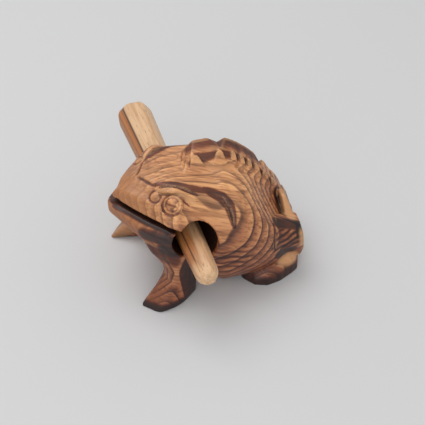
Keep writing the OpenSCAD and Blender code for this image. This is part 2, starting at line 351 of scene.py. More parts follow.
@dataclass(frozen=True)
class Mouth:
    """Sawn mouth and the bore through the cheeks that it runs into, in millimetres."""

    bore_y: float = -16.3
    bore_z: float = 32.0
    bore_r: float = 8.4
    rise: float = 3.5
    tilt: float = math.tan(math.radians(9.5))
    gap: float = 2.1

    def lower_lip(self, y: Array) -> Array:
        """Height of the mouth's floor at y."""
        return self.bore_z + self.rise - (y - self.bore_y) * self.tilt

    def upper_lip(self, y: Array) -> Array:
        """Height of the mouth's roof at y."""
        return self.lower_lip(y) + self.gap

    def distance(self, p: Array) -> Array:
        """Measure how far points lie outside the hollow.

        Args:
            p: Points.

        Returns:
            Signed distances, negative in the hollow.
        """
        y, z = p[:, 1], p[:, 2]
        bore = np.hypot(y - self.bore_y, z - self.bore_z) - self.bore_r
        slot = np.maximum(np.maximum(self.lower_lip(y) - z, z - self.upper_lip(y)), y - self.bore_y)
        return np.minimum(bore, slot)


@dataclass(frozen=True)
class Head:
    """Wedge-shaped head and jaw, in millimetres.

    Attributes:
        mouth: The mouth between them.
        jaw_tip: Y of the jaw's tip.
        lip_tip: Y of the upper lip's tip.
        cheek_y: Y of the cheeks, where the head is widest.
        crown_y: Y of the crown's front point.
        end_y: Y where the head ends inside the torso.
        lap: How far head and jaw reach past the lips, before the mouth is sawn.
        least_half: Least half width at the top of the lip's wall.
        least_fall: Least fall from the crown to that wall.
    """

    mouth: Mouth
    jaw_tip: float
    lip_tip: float = -41.0
    cheek_y: float = -21.5
    crown_y: float = -31.0
    end_y: float = -4.0
    cheek_w: float = 49.0
    tip_w: float = 3.0
    crown_tip_w: float = 1.5
    crown_w: float = 26.0
    brow_h: float = 49.5
    crown_rise: float = 1.0
    crown_fall: float = 5.0
    snout_wall: float = 2.0
    lap: float = 1.0
    lip_bow: float = 1.5
    bow_power: float = 1.2
    lip_wall: float = 5.0
    lip_slant: float = 3.0
    least_half: float = 1.0
    least_fall: float = 0.5
    neck_share: float = 0.8
    jaw_depth: float = 9.2
    jaw_tip_depth: float = 5.0
    jaw_bow: float = 4.4
    jaw_slope: float = 0.2
    bevel: float = 2.8
    bevel_growth: float = 2.0
    bevel_least: float = 0.3
    bevel_width: float = 0.8
    crown_blend: float = 1.0
    lip_blend: float = 1.2
    bevel_blend: float = 0.6

    def lip_half(self, y: Array, tip: float) -> Array:
        """Find the half width across a lip.

        Args:
            y: Places along the frog.
            tip: Y of the lip's tip.

        Returns:
            The half widths there.
        """
        share = share_of(y, tip, self.cheek_y)
        half = self.tip_w / 2.0 + (self.cheek_w - self.tip_w) / 2.0 * share
        neck = share_of(y, self.cheek_y, self.end_y)
        bow = self.lip_bow if tip == self.lip_tip else self.jaw_bow
        bowed = half + bow * np.sin(math.pi * share) ** self.bow_power
        return bowed * (1.0 - (1.0 - self.neck_share) * neck)

    def upper(self, p: Array) -> Array:
        """Measure how far points lie outside the head above the mouth.

        Args:
            p: Points.

        Returns:
            Signed distances, negative inside.
        """
        across, y, z = np.abs(p[:, 0]), p[:, 1], p[:, 2]
        lip_z = self.mouth.upper_lip(y) - self.lap
        half = self.lip_half(y, self.lip_tip)
        share = share_of(y, self.crown_y, self.cheek_y)
        crown_half = self.crown_tip_w / 2.0 + (self.crown_w - self.crown_tip_w) / 2.0 * share
        snout = share_of(y, self.lip_tip, self.crown_y)
        snout_z = self.mouth.upper_lip(np.array(self.lip_tip)) + self.snout_wall
        slope_z = snout_z + (self.brow_h - snout_z) * snout
        crown_z = np.where(snout < 1.0, slope_z, self.brow_h + self.crown_rise * share)
        crown_z = crown_z - self.crown_fall * share_of(y, self.cheek_y, self.end_y) ** 2
        wall_half = np.maximum(self.least_half, half - self.lip_slant)
        wall_z = np.minimum(lip_z + self.lip_wall + self.lap, crown_z - self.least_fall)
        cheek = edge_distance(across, z, (crown_half, crown_z), (wall_half, wall_z))
        lip = edge_distance(across, z, (wall_half, wall_z), (half, lip_z))
        shape = soft_max(soft_max(z - crown_z, cheek, self.crown_blend), lip, self.lip_blend)
        ends = np.maximum(self.lip_tip - y, y - self.end_y)
        return soft_max(np.maximum(shape, lip_z - z), ends, self.crown_blend)

    def jaw(self, p: Array) -> Array:
        """Measure how far points lie outside the jaw below the mouth.

        Args:
            p: Points.

        Returns:
            Signed distances, negative inside.
        """
        across, y, z = np.abs(p[:, 0]), p[:, 1], p[:, 2]
        high = self.mouth.lower_lip(y)
        share = share_of(y, self.jaw_tip, self.crown_y)
        low = high - (self.jaw_tip_depth + (self.jaw_depth - self.jaw_tip_depth) * share)
        half = self.lip_half(y, self.jaw_tip)
        rim = high - self.bevel * np.clip(share * self.bevel_growth, self.bevel_least, 1.0)
        sides = across - half + np.maximum(rim - z, 0.0) * self.jaw_slope
        lip = np.minimum(self.lip_half(y, self.lip_tip), half - self.bevel_width)
        slant = edge_distance(across, z, (lip, high), (half, rim))
        walls = soft_max(soft_max(sides, slant, self.bevel_blend), low - z, self.lip_blend)
        shape = soft_max(walls, z - high - self.lap, self.bevel_blend)
        ends = np.maximum(self.jaw_tip - y, y - self.end_y)
        return soft_max(shape, ends, self.lip_blend)


@dataclass(frozen=True)
class Foot:
    """Long foot with a ridge along its top, as roof-shaped sections along Y, in millimetres.

    Each tuple holds one value for each place along Y, from front to back.
    """

    y: tuple[float, ...]
    inner: tuple[float, ...]
    outer: tuple[float, ...]
    ridge_x: tuple[float, ...]
    eaves: tuple[float, ...]
    ridge: tuple[float, ...]
    blend: float = 1.4
    ridge_share: float = 0.6

    def distance(self, p: Array) -> Array:
        """Measure how far points lie outside the foot.

        Args:
            p: Points on the frog's left side.

        Returns:
            Signed distances, negative inside.
        """
        across, y, z = p[:, 0], p[:, 1], p[:, 2]
        rows = (self.inner, self.outer, self.ridge_x, self.eaves, self.ridge)
        inner, outer, ridge_x, eaves, ridge = (np.interp(y, self.y, row) for row in rows)
        out = edge_distance(across, z, (ridge_x, ridge), (outer, eaves))
        into = edge_distance(-across, z, (-ridge_x, ridge), (-inner, eaves))
        walls = soft_max(across - outer, inner - across, self.blend)
        shape = soft_max(soft_max(out, into, self.blend * self.ridge_share), walls, self.blend)
        return soft_max(shape, np.maximum(self.y[0] - y, y - self.y[-1]), self.blend)


@dataclass(frozen=True)
class Limb:
    """Leg as level sections with the same corners at each height, in millimetres.

    Attributes:
        z: Heights of the sections.
        corners: X and Y of each section's corners, going round to the left seen from above.
        blend: Rounding of the edges.
    """

    z: tuple[float, ...]
    corners: tuple[tuple[Span, ...], ...]
    blend: float = 1.2

    def distance(self, p: Array) -> Array:
        """Measure how far points lie outside the leg.

        Args:
            p: Points on the frog's left side.

        Returns:
            Signed distances, negative inside.
        """
        z = p[:, 2]
        rows = np.array(self.corners)
        ring = [
            (np.interp(z, self.z, rows[:, i, 0]), np.interp(z, self.z, rows[:, i, 1]))
            for i in range(rows.shape[1])
        ]
        shape = np.maximum(self.z[0] - z, z - self.z[-1])
        for start, end in zip(ring, ring[1:] + ring[:1]):
            run, rise = end[0] - start[0], end[1] - start[1]
            length = np.hypot(run, rise) + TINY
            side = ((p[:, 0] - start[0]) * rise - (p[:, 1] - start[1]) * run) / length
            shape = soft_max(shape, side, self.blend)
        return shape


@dataclass(frozen=True)
class Notch:
    """Cut into one flank of the spine: a three-cornered chip on the left, a V on the right.

    Attributes:
        side: The flank that it is cut into.
        y: Its place along the frog, in millimetres.
        spread: Half width at the ridge for a chip; for a V, half width for each millimetre of depth.
    """

    side: Side
    y: float
    spread: float


@dataclass(frozen=True)
class Spine:
    """Raised band along the back, in millimetres: a ridge with cuts down both of its flanks.

    Attributes:
        torso: The back that it stands on.
        start_y: Front end.
        end_y: Back end.
        first_h: Height of the ridge above the back at the front.
        last_h: Height at the back.
        ridge_x: X of the ridge.
        near_x: X of the band's upper edge on the frog's left.
        brow_x: X of the higher edge on the frog's right.
        brow_share: Height of that edge as a share of the ridge's.
        base_half: Half width at the bottom.
        base_sunk: How far the bottom's edges lie below the back.
        root: How far the band reaches into the back.
        depth_share: Depth of the cuts on the right, as a share of the height there.
        half_step: Half of the stretch over which the back's slope is taken.
        least_level: Least cosine of that slope that the cuts reckon with.
        side_wall: Slope of the wall that ends a cut at the ridge.
        notches: The cuts.
    """

    torso: Torso
    start_y: float = -16.0
    end_y: float = 31.3
    first_h: float = 6.2
    last_h: float = 2.2
    ridge_x: float = 0.8
    near_x: float = 2.7
    brow_x: float = -4.2
    brow_share: float = 1.4
    base_half: float = 6.2
    base_sunk: float = 1.0
    root: float = 3.0
    depth_share: float = 0.42
    half_step: float = 0.5
    least_level: float = 0.3
    side_wall: float = 4.0
    edge_blend: float = 0.4
    root_blend: float = 0.5
    end_blend: float = 0.6
    notches: tuple[Notch, ...] = (
        Notch(Side.LEFT, -13.0, 3.0),
        Notch(Side.LEFT, -4.6, 5.2),
        Notch(Side.LEFT, 3.3, 2.7),
        Notch(Side.LEFT, 7.6, 1.6),
        Notch(Side.LEFT, 10.8, 1.5),
        Notch(Side.LEFT, 13.8, 1.5),
        Notch(Side.LEFT, 17.2, 1.8),
        Notch(Side.LEFT, 21.0, 1.8),
        Notch(Side.LEFT, 24.8, 1.8),
        Notch(Side.LEFT, 28.2, 1.6),
        Notch(Side.RIGHT, 1.6, 1.3),
        Notch(Side.RIGHT, 18.5, 1.3),
        Notch(Side.RIGHT, 23.0, 1.3),
        Notch(Side.RIGHT, 28.2, 1.3),
    )

    def top(self, y: Array) -> Array:
        """Height of the ridge above the back at y."""
        share = share_of(y, self.start_y, self.end_y)
        return self.first_h + (self.last_h - self.first_h) * share

    def height_at(self, p: Array) -> tuple[Array, Array]:
        """Height of points above the back, square to it, and the slope there.

        Args:
            p: Points.

        Returns:
            The heights and the cosine of the back's slope.
        """
        y = np.clip(p[:, 1], self.start_y, self.end_y)
        rise = self.torso.back(y + self.half_step) - self.torso.back(y - self.half_step)
        level = 1.0 / np.hypot(1.0, rise / (2.0 * self.half_step))
        return (p[:, 2] - self.torso.back(y)) * level, level

    def cut(self, p: Array) -> Array:
        """Measure how far points lie outside the cuts.

        Args:
            p: Points.

        Returns:
            Signed distances, negative in a cut.
        """
        height, level = self.height_at(p)
        best = np.full(len(p), np.inf)
        for notch in self.notches:
            top = self.top(np.array(notch.y))
            along = np.abs(p[:, 1] - notch.y) / np.maximum(level, self.least_level)
            if notch.side is Side.LEFT:
                share = (p[:, 0] - self.ridge_x) / (self.base_half - self.ridge_x)
                half = notch.spread * np.maximum(1.0 - share, 0.0)
                chip = np.maximum(top * (1.0 - share) - height, along - half)
            else:
                share = (self.ridge_x - p[:, 0]) / (self.ridge_x - self.brow_x)
                floor = top * (1.0 + ((1.0 - self.depth_share) * self.brow_share - 1.0) * share)
                chip = (along - (height - floor) * notch.spread) / math.hypot(1.0, notch.spread)
            best = np.minimum(best, np.maximum(chip, -share * self.side_wall))
        return best

    def distance(self, p: Array) -> Array:
        """Measure how far points lie outside the band, before its cuts.

        Args:
            p: Points.

        Returns:
            Signed distances, negative inside.
        """
        height, _ = self.height_at(p)
        across, top = p[:, 0], self.top(p[:, 1])
        share = share_of(across, self.ridge_x, self.brow_x)
        roof = height - top * (1.0 + (self.brow_share - 1.0) * share)
        bottom = (np.array(self.base_half), np.array(-self.base_sunk))
        brow = (np.array(-self.brow_x), top * self.brow_share)
        left = edge_distance(across, height, (np.array(self.near_x), top), bottom)
        right = edge_distance(-across, height, brow, bottom)
        walls = soft_max(left, right, self.edge_blend)
        shape = soft_max(soft_max(roof, walls, self.edge_blend), -self.root - height, self.root_blend)
        front = (self.start_y - p[:, 1] + np.maximum(height, 0.0)) * math.sqrt(0.5)
        return soft_max(shape, np.maximum(front, p[:, 1] - self.end_y), self.end_blend)


@dataclass(frozen=True)
class Boss:
    """Low round boss with a ring groove round it and a slit across it, such as an eye.

    Attributes:
        at: Its centre on the carved head, in millimetres.
        radius: Radius of the boss.
        height: How far its middle stands proud.
        groove: Half width of the ring groove.
        slit: Half length of the slit.
        slit_drop: How far the slit lies below the middle.
        iris: Radius of a second ring, or 0 for none.
        iris_rise: Height of that ring, as a share of the boss's.
        iris_thin: How much finer it is, as a share of the groove.
        slit_thin: How much finer the slit is, as a share of the groove.
        seat_reach: Reach over which the slope of its seat is taken.
        darkening: How dark the painted shade in the grooves is, from 0 to 1.
        shade_reach: Reach of the painted shade, as a share of the groove.
    """

    at: Point
    radius: float
    height: float
    groove: float
    slit: float
    slit_drop: float
    iris: float = 0.0
    iris_rise: float = 0.7
    iris_thin: float = 0.45
    slit_thin: float = 0.2
    seat_reach: float = 1.0
    seat_blend: float = 0.3
    groove_blend: float = 0.25
    darkening: float = 0.9
    shade_reach: float = 1.3

    def local(self, p: Array, head: Field) -> Array:
        """Turn points into the boss's own frame.

        Args:
            p: Points, folded over to the frog's left side.
            head: Field that the boss is seated on.

        Returns:
            The points as along, up and out of the surface.
        """
        seat = settle(head, np.array([self.at]), SEAT_ROUNDS)
        normal = slope_of(head, seat, self.seat_reach)[0]
        normal /= np.linalg.norm(normal)
        along = np.cross(normal, (0.0, 0.0, 1.0))
        along /= np.linalg.norm(along)
        return (p - seat[0]) @ np.column_stack([along, np.cross(along, normal), normal])

    def lines(self, local: Array) -> Array:
        """Measure how far points lie from the middle of the nearest groove.

        Args:
            local: Points in the boss's own frame.

        Returns:
            The distances, larger by as much as a groove is finer.
        """
        out = np.hypot(local[:, 0], local[:, 1])
        away = np.hypot(out - self.radius - self.groove / 2.0, local[:, 2])
        if self.iris:
            ring = np.hypot(out - self.iris, local[:, 2] - self.height * self.iris_rise)
            away = np.minimum(away, ring + self.groove * self.iris_thin)
        ends = np.array([(end, -self.slit_drop, self.height) for end in (-self.slit, self.slit)])
        return np.minimum(away, line_distance(local, ends)[0] + self.groove * self.slit_thin)

    def carve(self, p: Array, body: Array, head: Field) -> Array:
        """Raise the boss on the head and cut its grooves.

        Args:
            p: Points, folded over to the frog's left side.
            body: Distances from the carving there.
            head: Field that the boss is seated on.

        Returns:
            The distances from the carving with the boss on it.
        """
        local = self.local(p, head)
        out = np.hypot(local[:, 0], local[:, 1])
        ball = (self.radius**2 + self.height**2) / (2.0 * self.height)
        dome = np.linalg.norm(local - (0.0, 0.0, self.height - ball), axis=1) - ball
        cap = soft_max(dome, out - self.radius, self.seat_blend)
        near = np.abs(local[:, 2]) < self.radius
        body = np.where(near, soft_min(body, cap, self.seat_blend), body)
        return soft_max(body, self.groove - self.lines(local), self.groove_blend)

    def shade(self, p: Array, head: Field) -> Array:
        """How dark the painted shade in the grooves is at each point, from 0 to 1."""
        away = self.lines(self.local(p, head)) / (self.shade_reach * self.groove)
        return self.darkening * np.exp(-(away**2))


@dataclass(frozen=True)
class Furrow:
    """Knife line along the surface: a groove, or a ridge where it is raised.

    Attributes:
        points: Points that it follows on the frog's left side, in millimetres.
        radius: Half width.
        raised: Whether it stands proud.
        darkening: How dark the painted shade in the groove is, from 0 to 1.
        edge_share: Rounding of the groove's edges, as a share of its half width.
        taper: How soon it is at its full width.
        least_width: Squared share of the width that its ends keep.
        shade_core: Share of the half width, inside the edge, from which the painted shade thins.
        shade_reach: How far past the edge the painted shade reaches.
    """

    points: tuple[Point, ...]
    radius: float
    raised: bool = False
    darkening: float = 0.8
    edge_share: float = 0.4
    taper: float = 6.0
    least_width: float = 0.02
    shade_core: float = 0.3
    shade_reach: float = 0.5

    def carve(self, p: Array, body: Array, shape: Field) -> Array:
        """Cut the groove or raise the ridge.

        Args:
            p: Points, folded over to the frog's left side.
            body: Distances from the carving there.
            shape: Field on whose surface the line is laid.

        Returns:
            The distances from the carving with the line in it.
        """
        away = self.away(p, shape)
        if self.raised:
            return soft_min(body, away, self.radius)
        return soft_max(body, -away, self.radius * self.edge_share)

    def away(self, p: Array, shape: Field) -> Array:
        """Measure how far points lie from the line's rounded body, which narrows towards its ends.

        Args:
            p: Points, folded over to the frog's left side.
            shape: Field on whose surface the line is laid.

        Returns:
            Signed distances, negative inside.
        """
        away, share = line_distance(p, settle(shape, np.array(self.points), SEAT_ROUNDS))
        width = np.clip(self.taper * share * (1.0 - share), self.least_width, 1.0)
        return away - self.radius * np.sqrt(width)

    def shade(self, p: Array, shape: Field) -> Array:
        """Find how dark the painted shade in the groove is.

        Args:
            p: Points, folded over to the frog's left side.
            shape: Field on whose surface the line is laid.

        Returns:
            The painted shade at each point, from 0 to 1.
        """
        if self.raised:
            return np.zeros(len(p))
        clear = step_up(self.away(p, shape), -self.shade_core * self.radius, self.shade_reach)
        return self.darkening * (1.0 - clear)


@dataclass(frozen=True)
class Chop:
    """Flat facet chopped off, through three points, in millimetres.

    Attributes:
        start: One end of an edge of the facet, on the frog's left side.
        end: Other end of that edge.
        deep: Point at the far side of the facet.
    """

    start: Point
    end: Point
    deep: Point

    def distance(self, p: Array) -> Array:
        """Measure how far points lie from the facet's plane.

        Args:
            p: Points on the frog's left side.

        Returns:
            Signed distances, positive on the side of the waste.
        """
        start = np.array(self.start)
        normal = np.cross(np.array(self.end) - start, np.array(self.deep) - start)
        return (p - start) @ normal / np.linalg.norm(normal)


@dataclass(frozen=True)
class Patch:
    """Place on the surface that is darkened, by a torch burn or by painted shade, or rubbed pale.

    Attributes:
        points: Points that it runs through, in millimetres; on both sides where the first has x > 0.
        radius: How far it reaches from them.
        strength: How strong it is in the middle, from 0 to 1.
        leaf: Whether it narrows towards its ends and has clearer edges.
        stripe: Width of the stripes that it is broken into, or 0 for none.
        lean: How far the stripes rise for each millimetre towards the rump.
        core: Share of the reach at which it starts to thin.
        leaf_core: That share in a leaf.
        leaf_tip: Squared share of the reach that a leaf's ends keep.
        sway: How far the stripes wave up and down.
        sway_turn: How quickly they wave, in radians for each millimetre.
    """

    points: tuple[Point, ...]
    radius: float
    strength: float
    leaf: bool = False
    stripe: float = 0.0
    lean: float = 0.0
    core: float = 0.35
    leaf_core: float = 0.6
    leaf_tip: float = 0.01
    sway: float = 0.4
    sway_turn: float = 0.7

    def share(self, p: Array) -> Array:
        """Find how strong the patch is.

        Args:
            p: Points.

        Returns:
            The strength at each point, from 0 to 1.
        """
        place = p if self.points[0][0] < 0.0 else mirrored(p)
        away, along = line_distance(place, np.array(self.points))
        if self.leaf:
            reach = np.sqrt(np.clip(4.0 * along * (1.0 - along), self.leaf_tip, 1.0))
            return self.strength * (1.0 - step_up(away / (self.radius * reach), self.leaf_core, 1.0))
        share = self.strength * (1.0 - step_up(away / self.radius, self.core, 1.0))
        if not self.stripe:
            return share
        y, z = place[:, 1], place[:, 2]
        rise = z - self.lean * y + self.sway * np.sin(y * self.sway_turn)
        return share * (0.5 + 0.5 * np.cos(2.0 * math.pi * rise / self.stripe))


class NodeGraph:
    """Short ways to add nodes to a tree and link them."""

    def __init__(self, tree: bpy.types.NodeTree) -> None:
        """Keep the tree that nodes are added to."""
        self.tree = tree

    def feed(self, socket: Socket, value: object) -> None:
        """Link a socket to an input, or set the input's own value.

        Args:
            socket: The input.
            value: Socket to link it to, or value to set.
        """
        if isinstance(value, Socket):
            self.tree.links.new(value, socket)
        else:
            socket.default_value = value

    def add(self, kind: str, inputs: dict | None = None, **settings: object) -> bpy.types.Node:
        """Add a node.

        Args:
            kind: Blender's name for the node's type.
            inputs: Value or socket for each input, by name or number.
            settings: Values for the node's own properties.

        Returns:
            The node.
        """
        node = self.tree.nodes.new(kind)
        for name, value in settings.items():
            setattr(node, name, value)
        for name, value in (inputs or {}).items():
            self.feed(node.inputs[name], value)
        return node

    def math(self, operation: str, *values: object) -> Socket:
        """Add a math node and return its result."""
        return self.add("ShaderNodeMath", dict(enumerate(values)), operation=operation).outputs[0]

    def vector(self, operation: str, *values: object) -> Socket:
        """Add a vector math node and return its vector."""
        return self.add("ShaderNodeVectorMath", dict(enumerate(values)), operation=operation).outputs[0]

    def scaled(self, vector: Socket, factor: object) -> Socket:
        """Scale a vector and return it."""
        return self.add("ShaderNodeVectorMath", {0: vector, "Scale": factor}, operation="SCALE").outputs[0]

    def split(self, vector: Socket) -> Sequence[Socket]:
        """Split a vector and return its X, Y and Z."""
        return self.add("ShaderNodeSeparateXYZ", {0: vector}).outputs

    def turned(self, vector: Socket, axis: str, angle: float) -> Socket:
        """Turn a vector about one of the axes and return it."""
        inputs = {"Vector": vector, "Angle": angle}
        return self.add("ShaderNodeVectorRotate", inputs, rotation_type=axis).outputs[0]

    def noise(self, vector: Socket, scale: float, detail: float = 2.0) -> bpy.types.Node:
        """Add a noise texture on a vector."""
        inputs = {"Vector": vector, "Scale": scale, "Detail": detail}
        return self.add("ShaderNodeTexNoise", inputs)

    def attribute(self, name: str) -> Socket:
        """Read one of the mesh's attributes and return its value."""
        return self.add("ShaderNodeAttribute", attribute_name=name).outputs["Fac"]

    def ramp(self, factor: Socket, stops: Sequence[tuple[float, Colour]]) -> Socket:
        """Add a colour ramp.

        Args:
            factor: Place on the ramp.
            stops: Place and colour of each stop.

        Returns:
            The ramp's colour.
        """
        node = self.add("ShaderNodeValToRGB", {"Fac": factor})
        elements = node.color_ramp.elements
        while len(elements) < len(stops):
            elements.new(1.0)
        for element, (place, colour) in zip(elements, stops):
            element.position = place
            element.color = colour
        return node.outputs["Color"]

    def blend(self, factor: object, a: object, b: object, mode: str = "MIX") -> Socket:
        """Add a colour mix.

        Args:
            factor: Share of the second colour.
            a: First colour.
            b: Second colour.
            mode: Blender's name for the way of mixing.

        Returns:
            The mixed colour.
        """
        node = self.add("ShaderNodeMix", data_type="RGBA", blend_type=mode)
        for socket, value in zip((node.inputs[0], node.inputs[6], node.inputs[7]), (factor, a, b)):
            self.feed(socket, value)
        return node.outputs[2]


@dataclass(frozen=True)
class Fade:
    """Share that rises evenly from 0 to its most.

    Attributes:
        start: Value at which it is 0.
        full: Value at which it is at its most.
        most: Its most, from 0 to 1.
    """

    start: float
    full: float
    most: float = 1.0

    def of(self, graph: NodeGraph, value: Socket) -> Socket:
        """Add the share for a value and return it."""
        inputs = {"Value": value, "From Min": self.start, "From Max": self.full, "To Max": self.most}
        return graph.add("ShaderNodeMapRange", inputs).outputs[0]


@dataclass(frozen=True)
class Mottle:
    """Noise that tints a colour.

    Attributes:
        scale: Fineness of the noise.
        low: Noise up to which the first tint holds, and that tint.
        high: Noise from which the second tint holds, and that tint.
        share: How strongly the tint is laid on, from 0 to 1.
        detail: Number of finer layers in the noise.
        run: Fineness along each axis, as a share; a small one draws the noise out.
    """

    scale: float
    low: tuple[float, Colour]
    high: tuple[float, Colour]
    share: float
    detail: float = 2.0
    run: Point = (1.0, 1.0, 1.0)

    def over(self, graph: NodeGraph, place: Socket, colour: Socket) -> Socket:
        """Tint a colour.

        Args:
            graph: Tree that the nodes go into.
            place: Coordinates that the noise lies on.
            colour: Colour to tint.

        Returns:
            The tinted colour.
        """
        drawn = graph.vector("MULTIPLY", place, self.run)
        value = graph.noise(drawn, self.scale, self.detail).outputs["Fac"]
        return graph.blend(self.share, colour, graph.ramp(value, (self.low, self.high)), "MULTIPLY")


@dataclass(frozen=True)
class Wood:
    """Oiled wood whose gloss and relief follow its grain.

    Attributes:
        name: Name of the material.
        grain_scale: Fineness of the grain.
        grain_detail: Number of finer layers in it.
        grain_run: Fineness along each axis, as a share; the small one draws the grain out.
        smooth: Least roughness.
        open_grain: How much rougher open grain is.
        relief: Depth of the grain, in metres.
        relief_share: How much of that depth shows.
    """

    name: str
    grain_scale: float
    grain_detail: float
    grain_run: Point
    smooth: float
    open_grain: float
    relief: float
    relief_share: float = 0.2

    def start(self) -> tuple[bpy.types.Material, NodeGraph]:
        """Start the material.

        Returns:
            The material and the graph of its nodes.
        """
        material = bpy.data.materials.new(self.name)
        material.use_nodes = True
        return material, NodeGraph(material.node_tree)

    def grain(self, graph: NodeGraph, place: Socket) -> Socket:
        """Add the grain and return it, from 0 to 1."""
        drawn = graph.vector("MULTIPLY", place, self.grain_run)
        return graph.noise(drawn, self.grain_scale, self.grain_detail).outputs["Fac"]

    def surface(self, graph: NodeGraph, colour: Socket, grain: Socket, depth: Socket) -> None:
        """Put the colour, the grain's gloss and its relief on the shader.

        Args:
            graph: Tree that the nodes go into.
            colour: Colour of the wood.
            grain: The grain, from 0 to 1.
            depth: The grain as deep as it is at each place.
        """
        shader = graph.tree.nodes["Principled BSDF"].inputs
        graph.feed(shader["Base Color"], colour)
        graph.feed(shader["Roughness"], graph.math("MULTIPLY_ADD", grain, self.open_grain, self.smooth))
        bump = {"Strength": self.relief_share, "Distance": self.relief, "Height": depth}
        graph.feed(shader["Normal"], graph.add("ShaderNodeBump", bump).outputs[0])


@dataclass(frozen=True)
class RingWood(Wood):
    """Wood with growth rings about a pith, paler towards the top as painted light, redder and darker towards
    the ground, and black where it is scorched and where deep shade is painted.

    Attributes:
        turn: How far the grain is turned from Y towards X, in radians.
        lean: How far it falls towards the rump, in radians.
        pith: Place of the pith across the grain and up, in metres.
        spacing: Width of a ring, in metres.
        wander: How far the rings stray, in metres.
        wander_scale: Fineness of their straying.
        stops: Places across a ring at which its colours lie, from 0 to 1.
        faint: How far a ring may fade into tan.
        pale_fade: How the rings fade to pale with height, as painted light on the top, in metres.
        snout_fade: How they fade towards the snout, along Y in metres.
        red_fade: How the colour turns redder and darker towards the ground, in metres.
        streaks: Fine streaks along the grain.
        clouds: Broad changes of tone.
        shade_and_burn_scale: Fineness of the patches that burns and painted shade break into.
        shade_and_burn_detail: Number of finer layers in them.
        shade_and_burn_patchy: How far burns and painted shade break into patches.
        shade_and_burn_fade: How the darkening becomes burn and painted shade.
        toast_and_shade_fade: How burn and painted shade first darken the wood to a toasted brown.
        char_and_shade_fade: How deeper burn and painted shade turn it black.
        worn_share: How pale worn places and painted edge highlights get.
    """

    name: str = "ring wood"
    grain_scale: float = 1250.0
    grain_detail: float = 3.0
    grain_run: Point = (1.0, 0.07, 1.0)
    smooth: float = 0.3
    open_grain: float = 0.25
    relief: float = 0.0004
    turn: float = 0.27
    lean: float = 0.28
    pith: Span = (-0.018, 0.009)
    spacing: float = 0.002
    wander: float = 0.003
    wander_scale: float = 30.0
    stops: tuple[float, ...] = (0.0, 0.46, 0.74, 0.87, 0.95, 1.0)
    faint: float = 0.35
    pale: Colour = (0.74, 0.4, 0.18, 1.0)
    tan: Colour = (0.55, 0.245, 0.106, 1.0)
    brown: Colour = (0.29, 0.12, 0.062, 1.0)
    snout: Colour = (0.38, 0.156, 0.06, 1.0)
    dark: Colour = (0.07, 0.025, 0.019, 1.0)
    toast_and_shade: Colour = (0.4, 0.22, 0.17, 1.0)
    char_and_shade: Colour = (0.014, 0.008, 0.007, 1.0)
    red: Colour = (0.48, 0.33, 0.33, 1.0)
    pale_fade: Fade = Fade(0.034, 0.05, 0.45)
    snout_fade: Fade = Fade(-0.024, -0.034, 0.8)
    red_fade: Fade = Fade(0.042, 0.01, 0.9)
    streaks: tuple[Mottle, ...] = tuple(
        Mottle(
            scale=scale,
            low=(0.38, (0.52, 0.4264, 0.3848, 1.0)),
            high=(0.52, (1.1, 1.1, 1.1, 1.0)),
            share=0.68,
            detail=3.0,
            run=(1.0, 0.07, 1.0),
        )
        for scale in (480.0, 1250.0)
    )
    clouds: Mottle = Mottle(
        scale=55.0,
        low=(0.35, (0.86, 0.74, 0.68, 1.0)),
        high=(0.62, (1.06, 1.04, 1.0, 1.0)),
        share=0.8,
    )
    shade_and_burn_scale: float = 170.0
    shade_and_burn_detail: float = 3.0
    shade_and_burn_patchy: float = 0.4
    shade_and_burn_fade: Fade = Fade(0.14, 0.9)
    toast_and_shade_fade: Fade = Fade(0.0, 0.55)
    char_and_shade_fade: Fade = Fade(0.3, 1.0, 0.88)
    worn_share: float = 0.75

    def rings(self, graph: NodeGraph, place: Socket) -> Socket:
        """Add the ring count outwards from the pith.

        Args:
            graph: Tree that the nodes go into.
            place: Coordinates with Y along the grain.

        Returns:
            The number of rings between the pith and each place.
        """
        cloud = graph.noise(place, self.wander_scale).outputs["Color"]
        stray = graph.scaled(graph.vector("SUBTRACT", cloud, (0.5, 0.5, 0.5)), self.wander)
        x, _, z = graph.split(graph.vector("ADD", place, stray))
        off_x = graph.math("SUBTRACT", x, self.pith[0])
        off_z = graph.math("SUBTRACT", z, self.pith[1])
        squares = graph.math("ADD", graph.math("POWER", off_x, 2.0), graph.math("POWER", off_z, 2.0))
        return graph.math("DIVIDE", graph.math("SQRT", squares), self.spacing)

    def figure(self, graph: NodeGraph, place: Socket) -> Socket:
        """Add the rings' colours, some rings fainter than others.

        Args:
            graph: Tree that the nodes go into.
            place: Coordinates with Y along the grain.

        Returns:
            The colour of the rings.
        """
        rings = self.rings(graph, place)
        colours = (self.pale, self.tan, self.brown, self.dark, self.dark, self.tan)
        figure = graph.ramp(graph.math("FRACT", rings), tuple(zip(self.stops, colours)))
        number = {"W": graph.math("FLOOR", rings)}
        chance = graph.add("ShaderNodeTexWhiteNoise", number, noise_dimensions="1D").outputs["Value"]
        return graph.blend(graph.math("MULTIPLY", chance, self.faint), figure, self.tan)

    def shade_and_burn(self, graph: NodeGraph, place: Socket) -> Socket:
        """Add how far the wood is darkened by burns and painted shade, in patches.

        Args:
            graph: Tree that the nodes go into.
            place: Coordinates with Y along the grain.

        Returns:
            The depth of burn and painted shade, from 0 to 1.
        """
        patches = graph.noise(place, self.shade_and_burn_scale, self.shade_and_burn_detail).outputs["Fac"]
        patchy = graph.math("SUBTRACT", patches, 0.5)
        darkening = graph.math("MULTIPLY_ADD", patchy, self.shade_and_burn_patchy, graph.attribute("scorch"))
        return self.shade_and_burn_fade.of(graph, darkening)

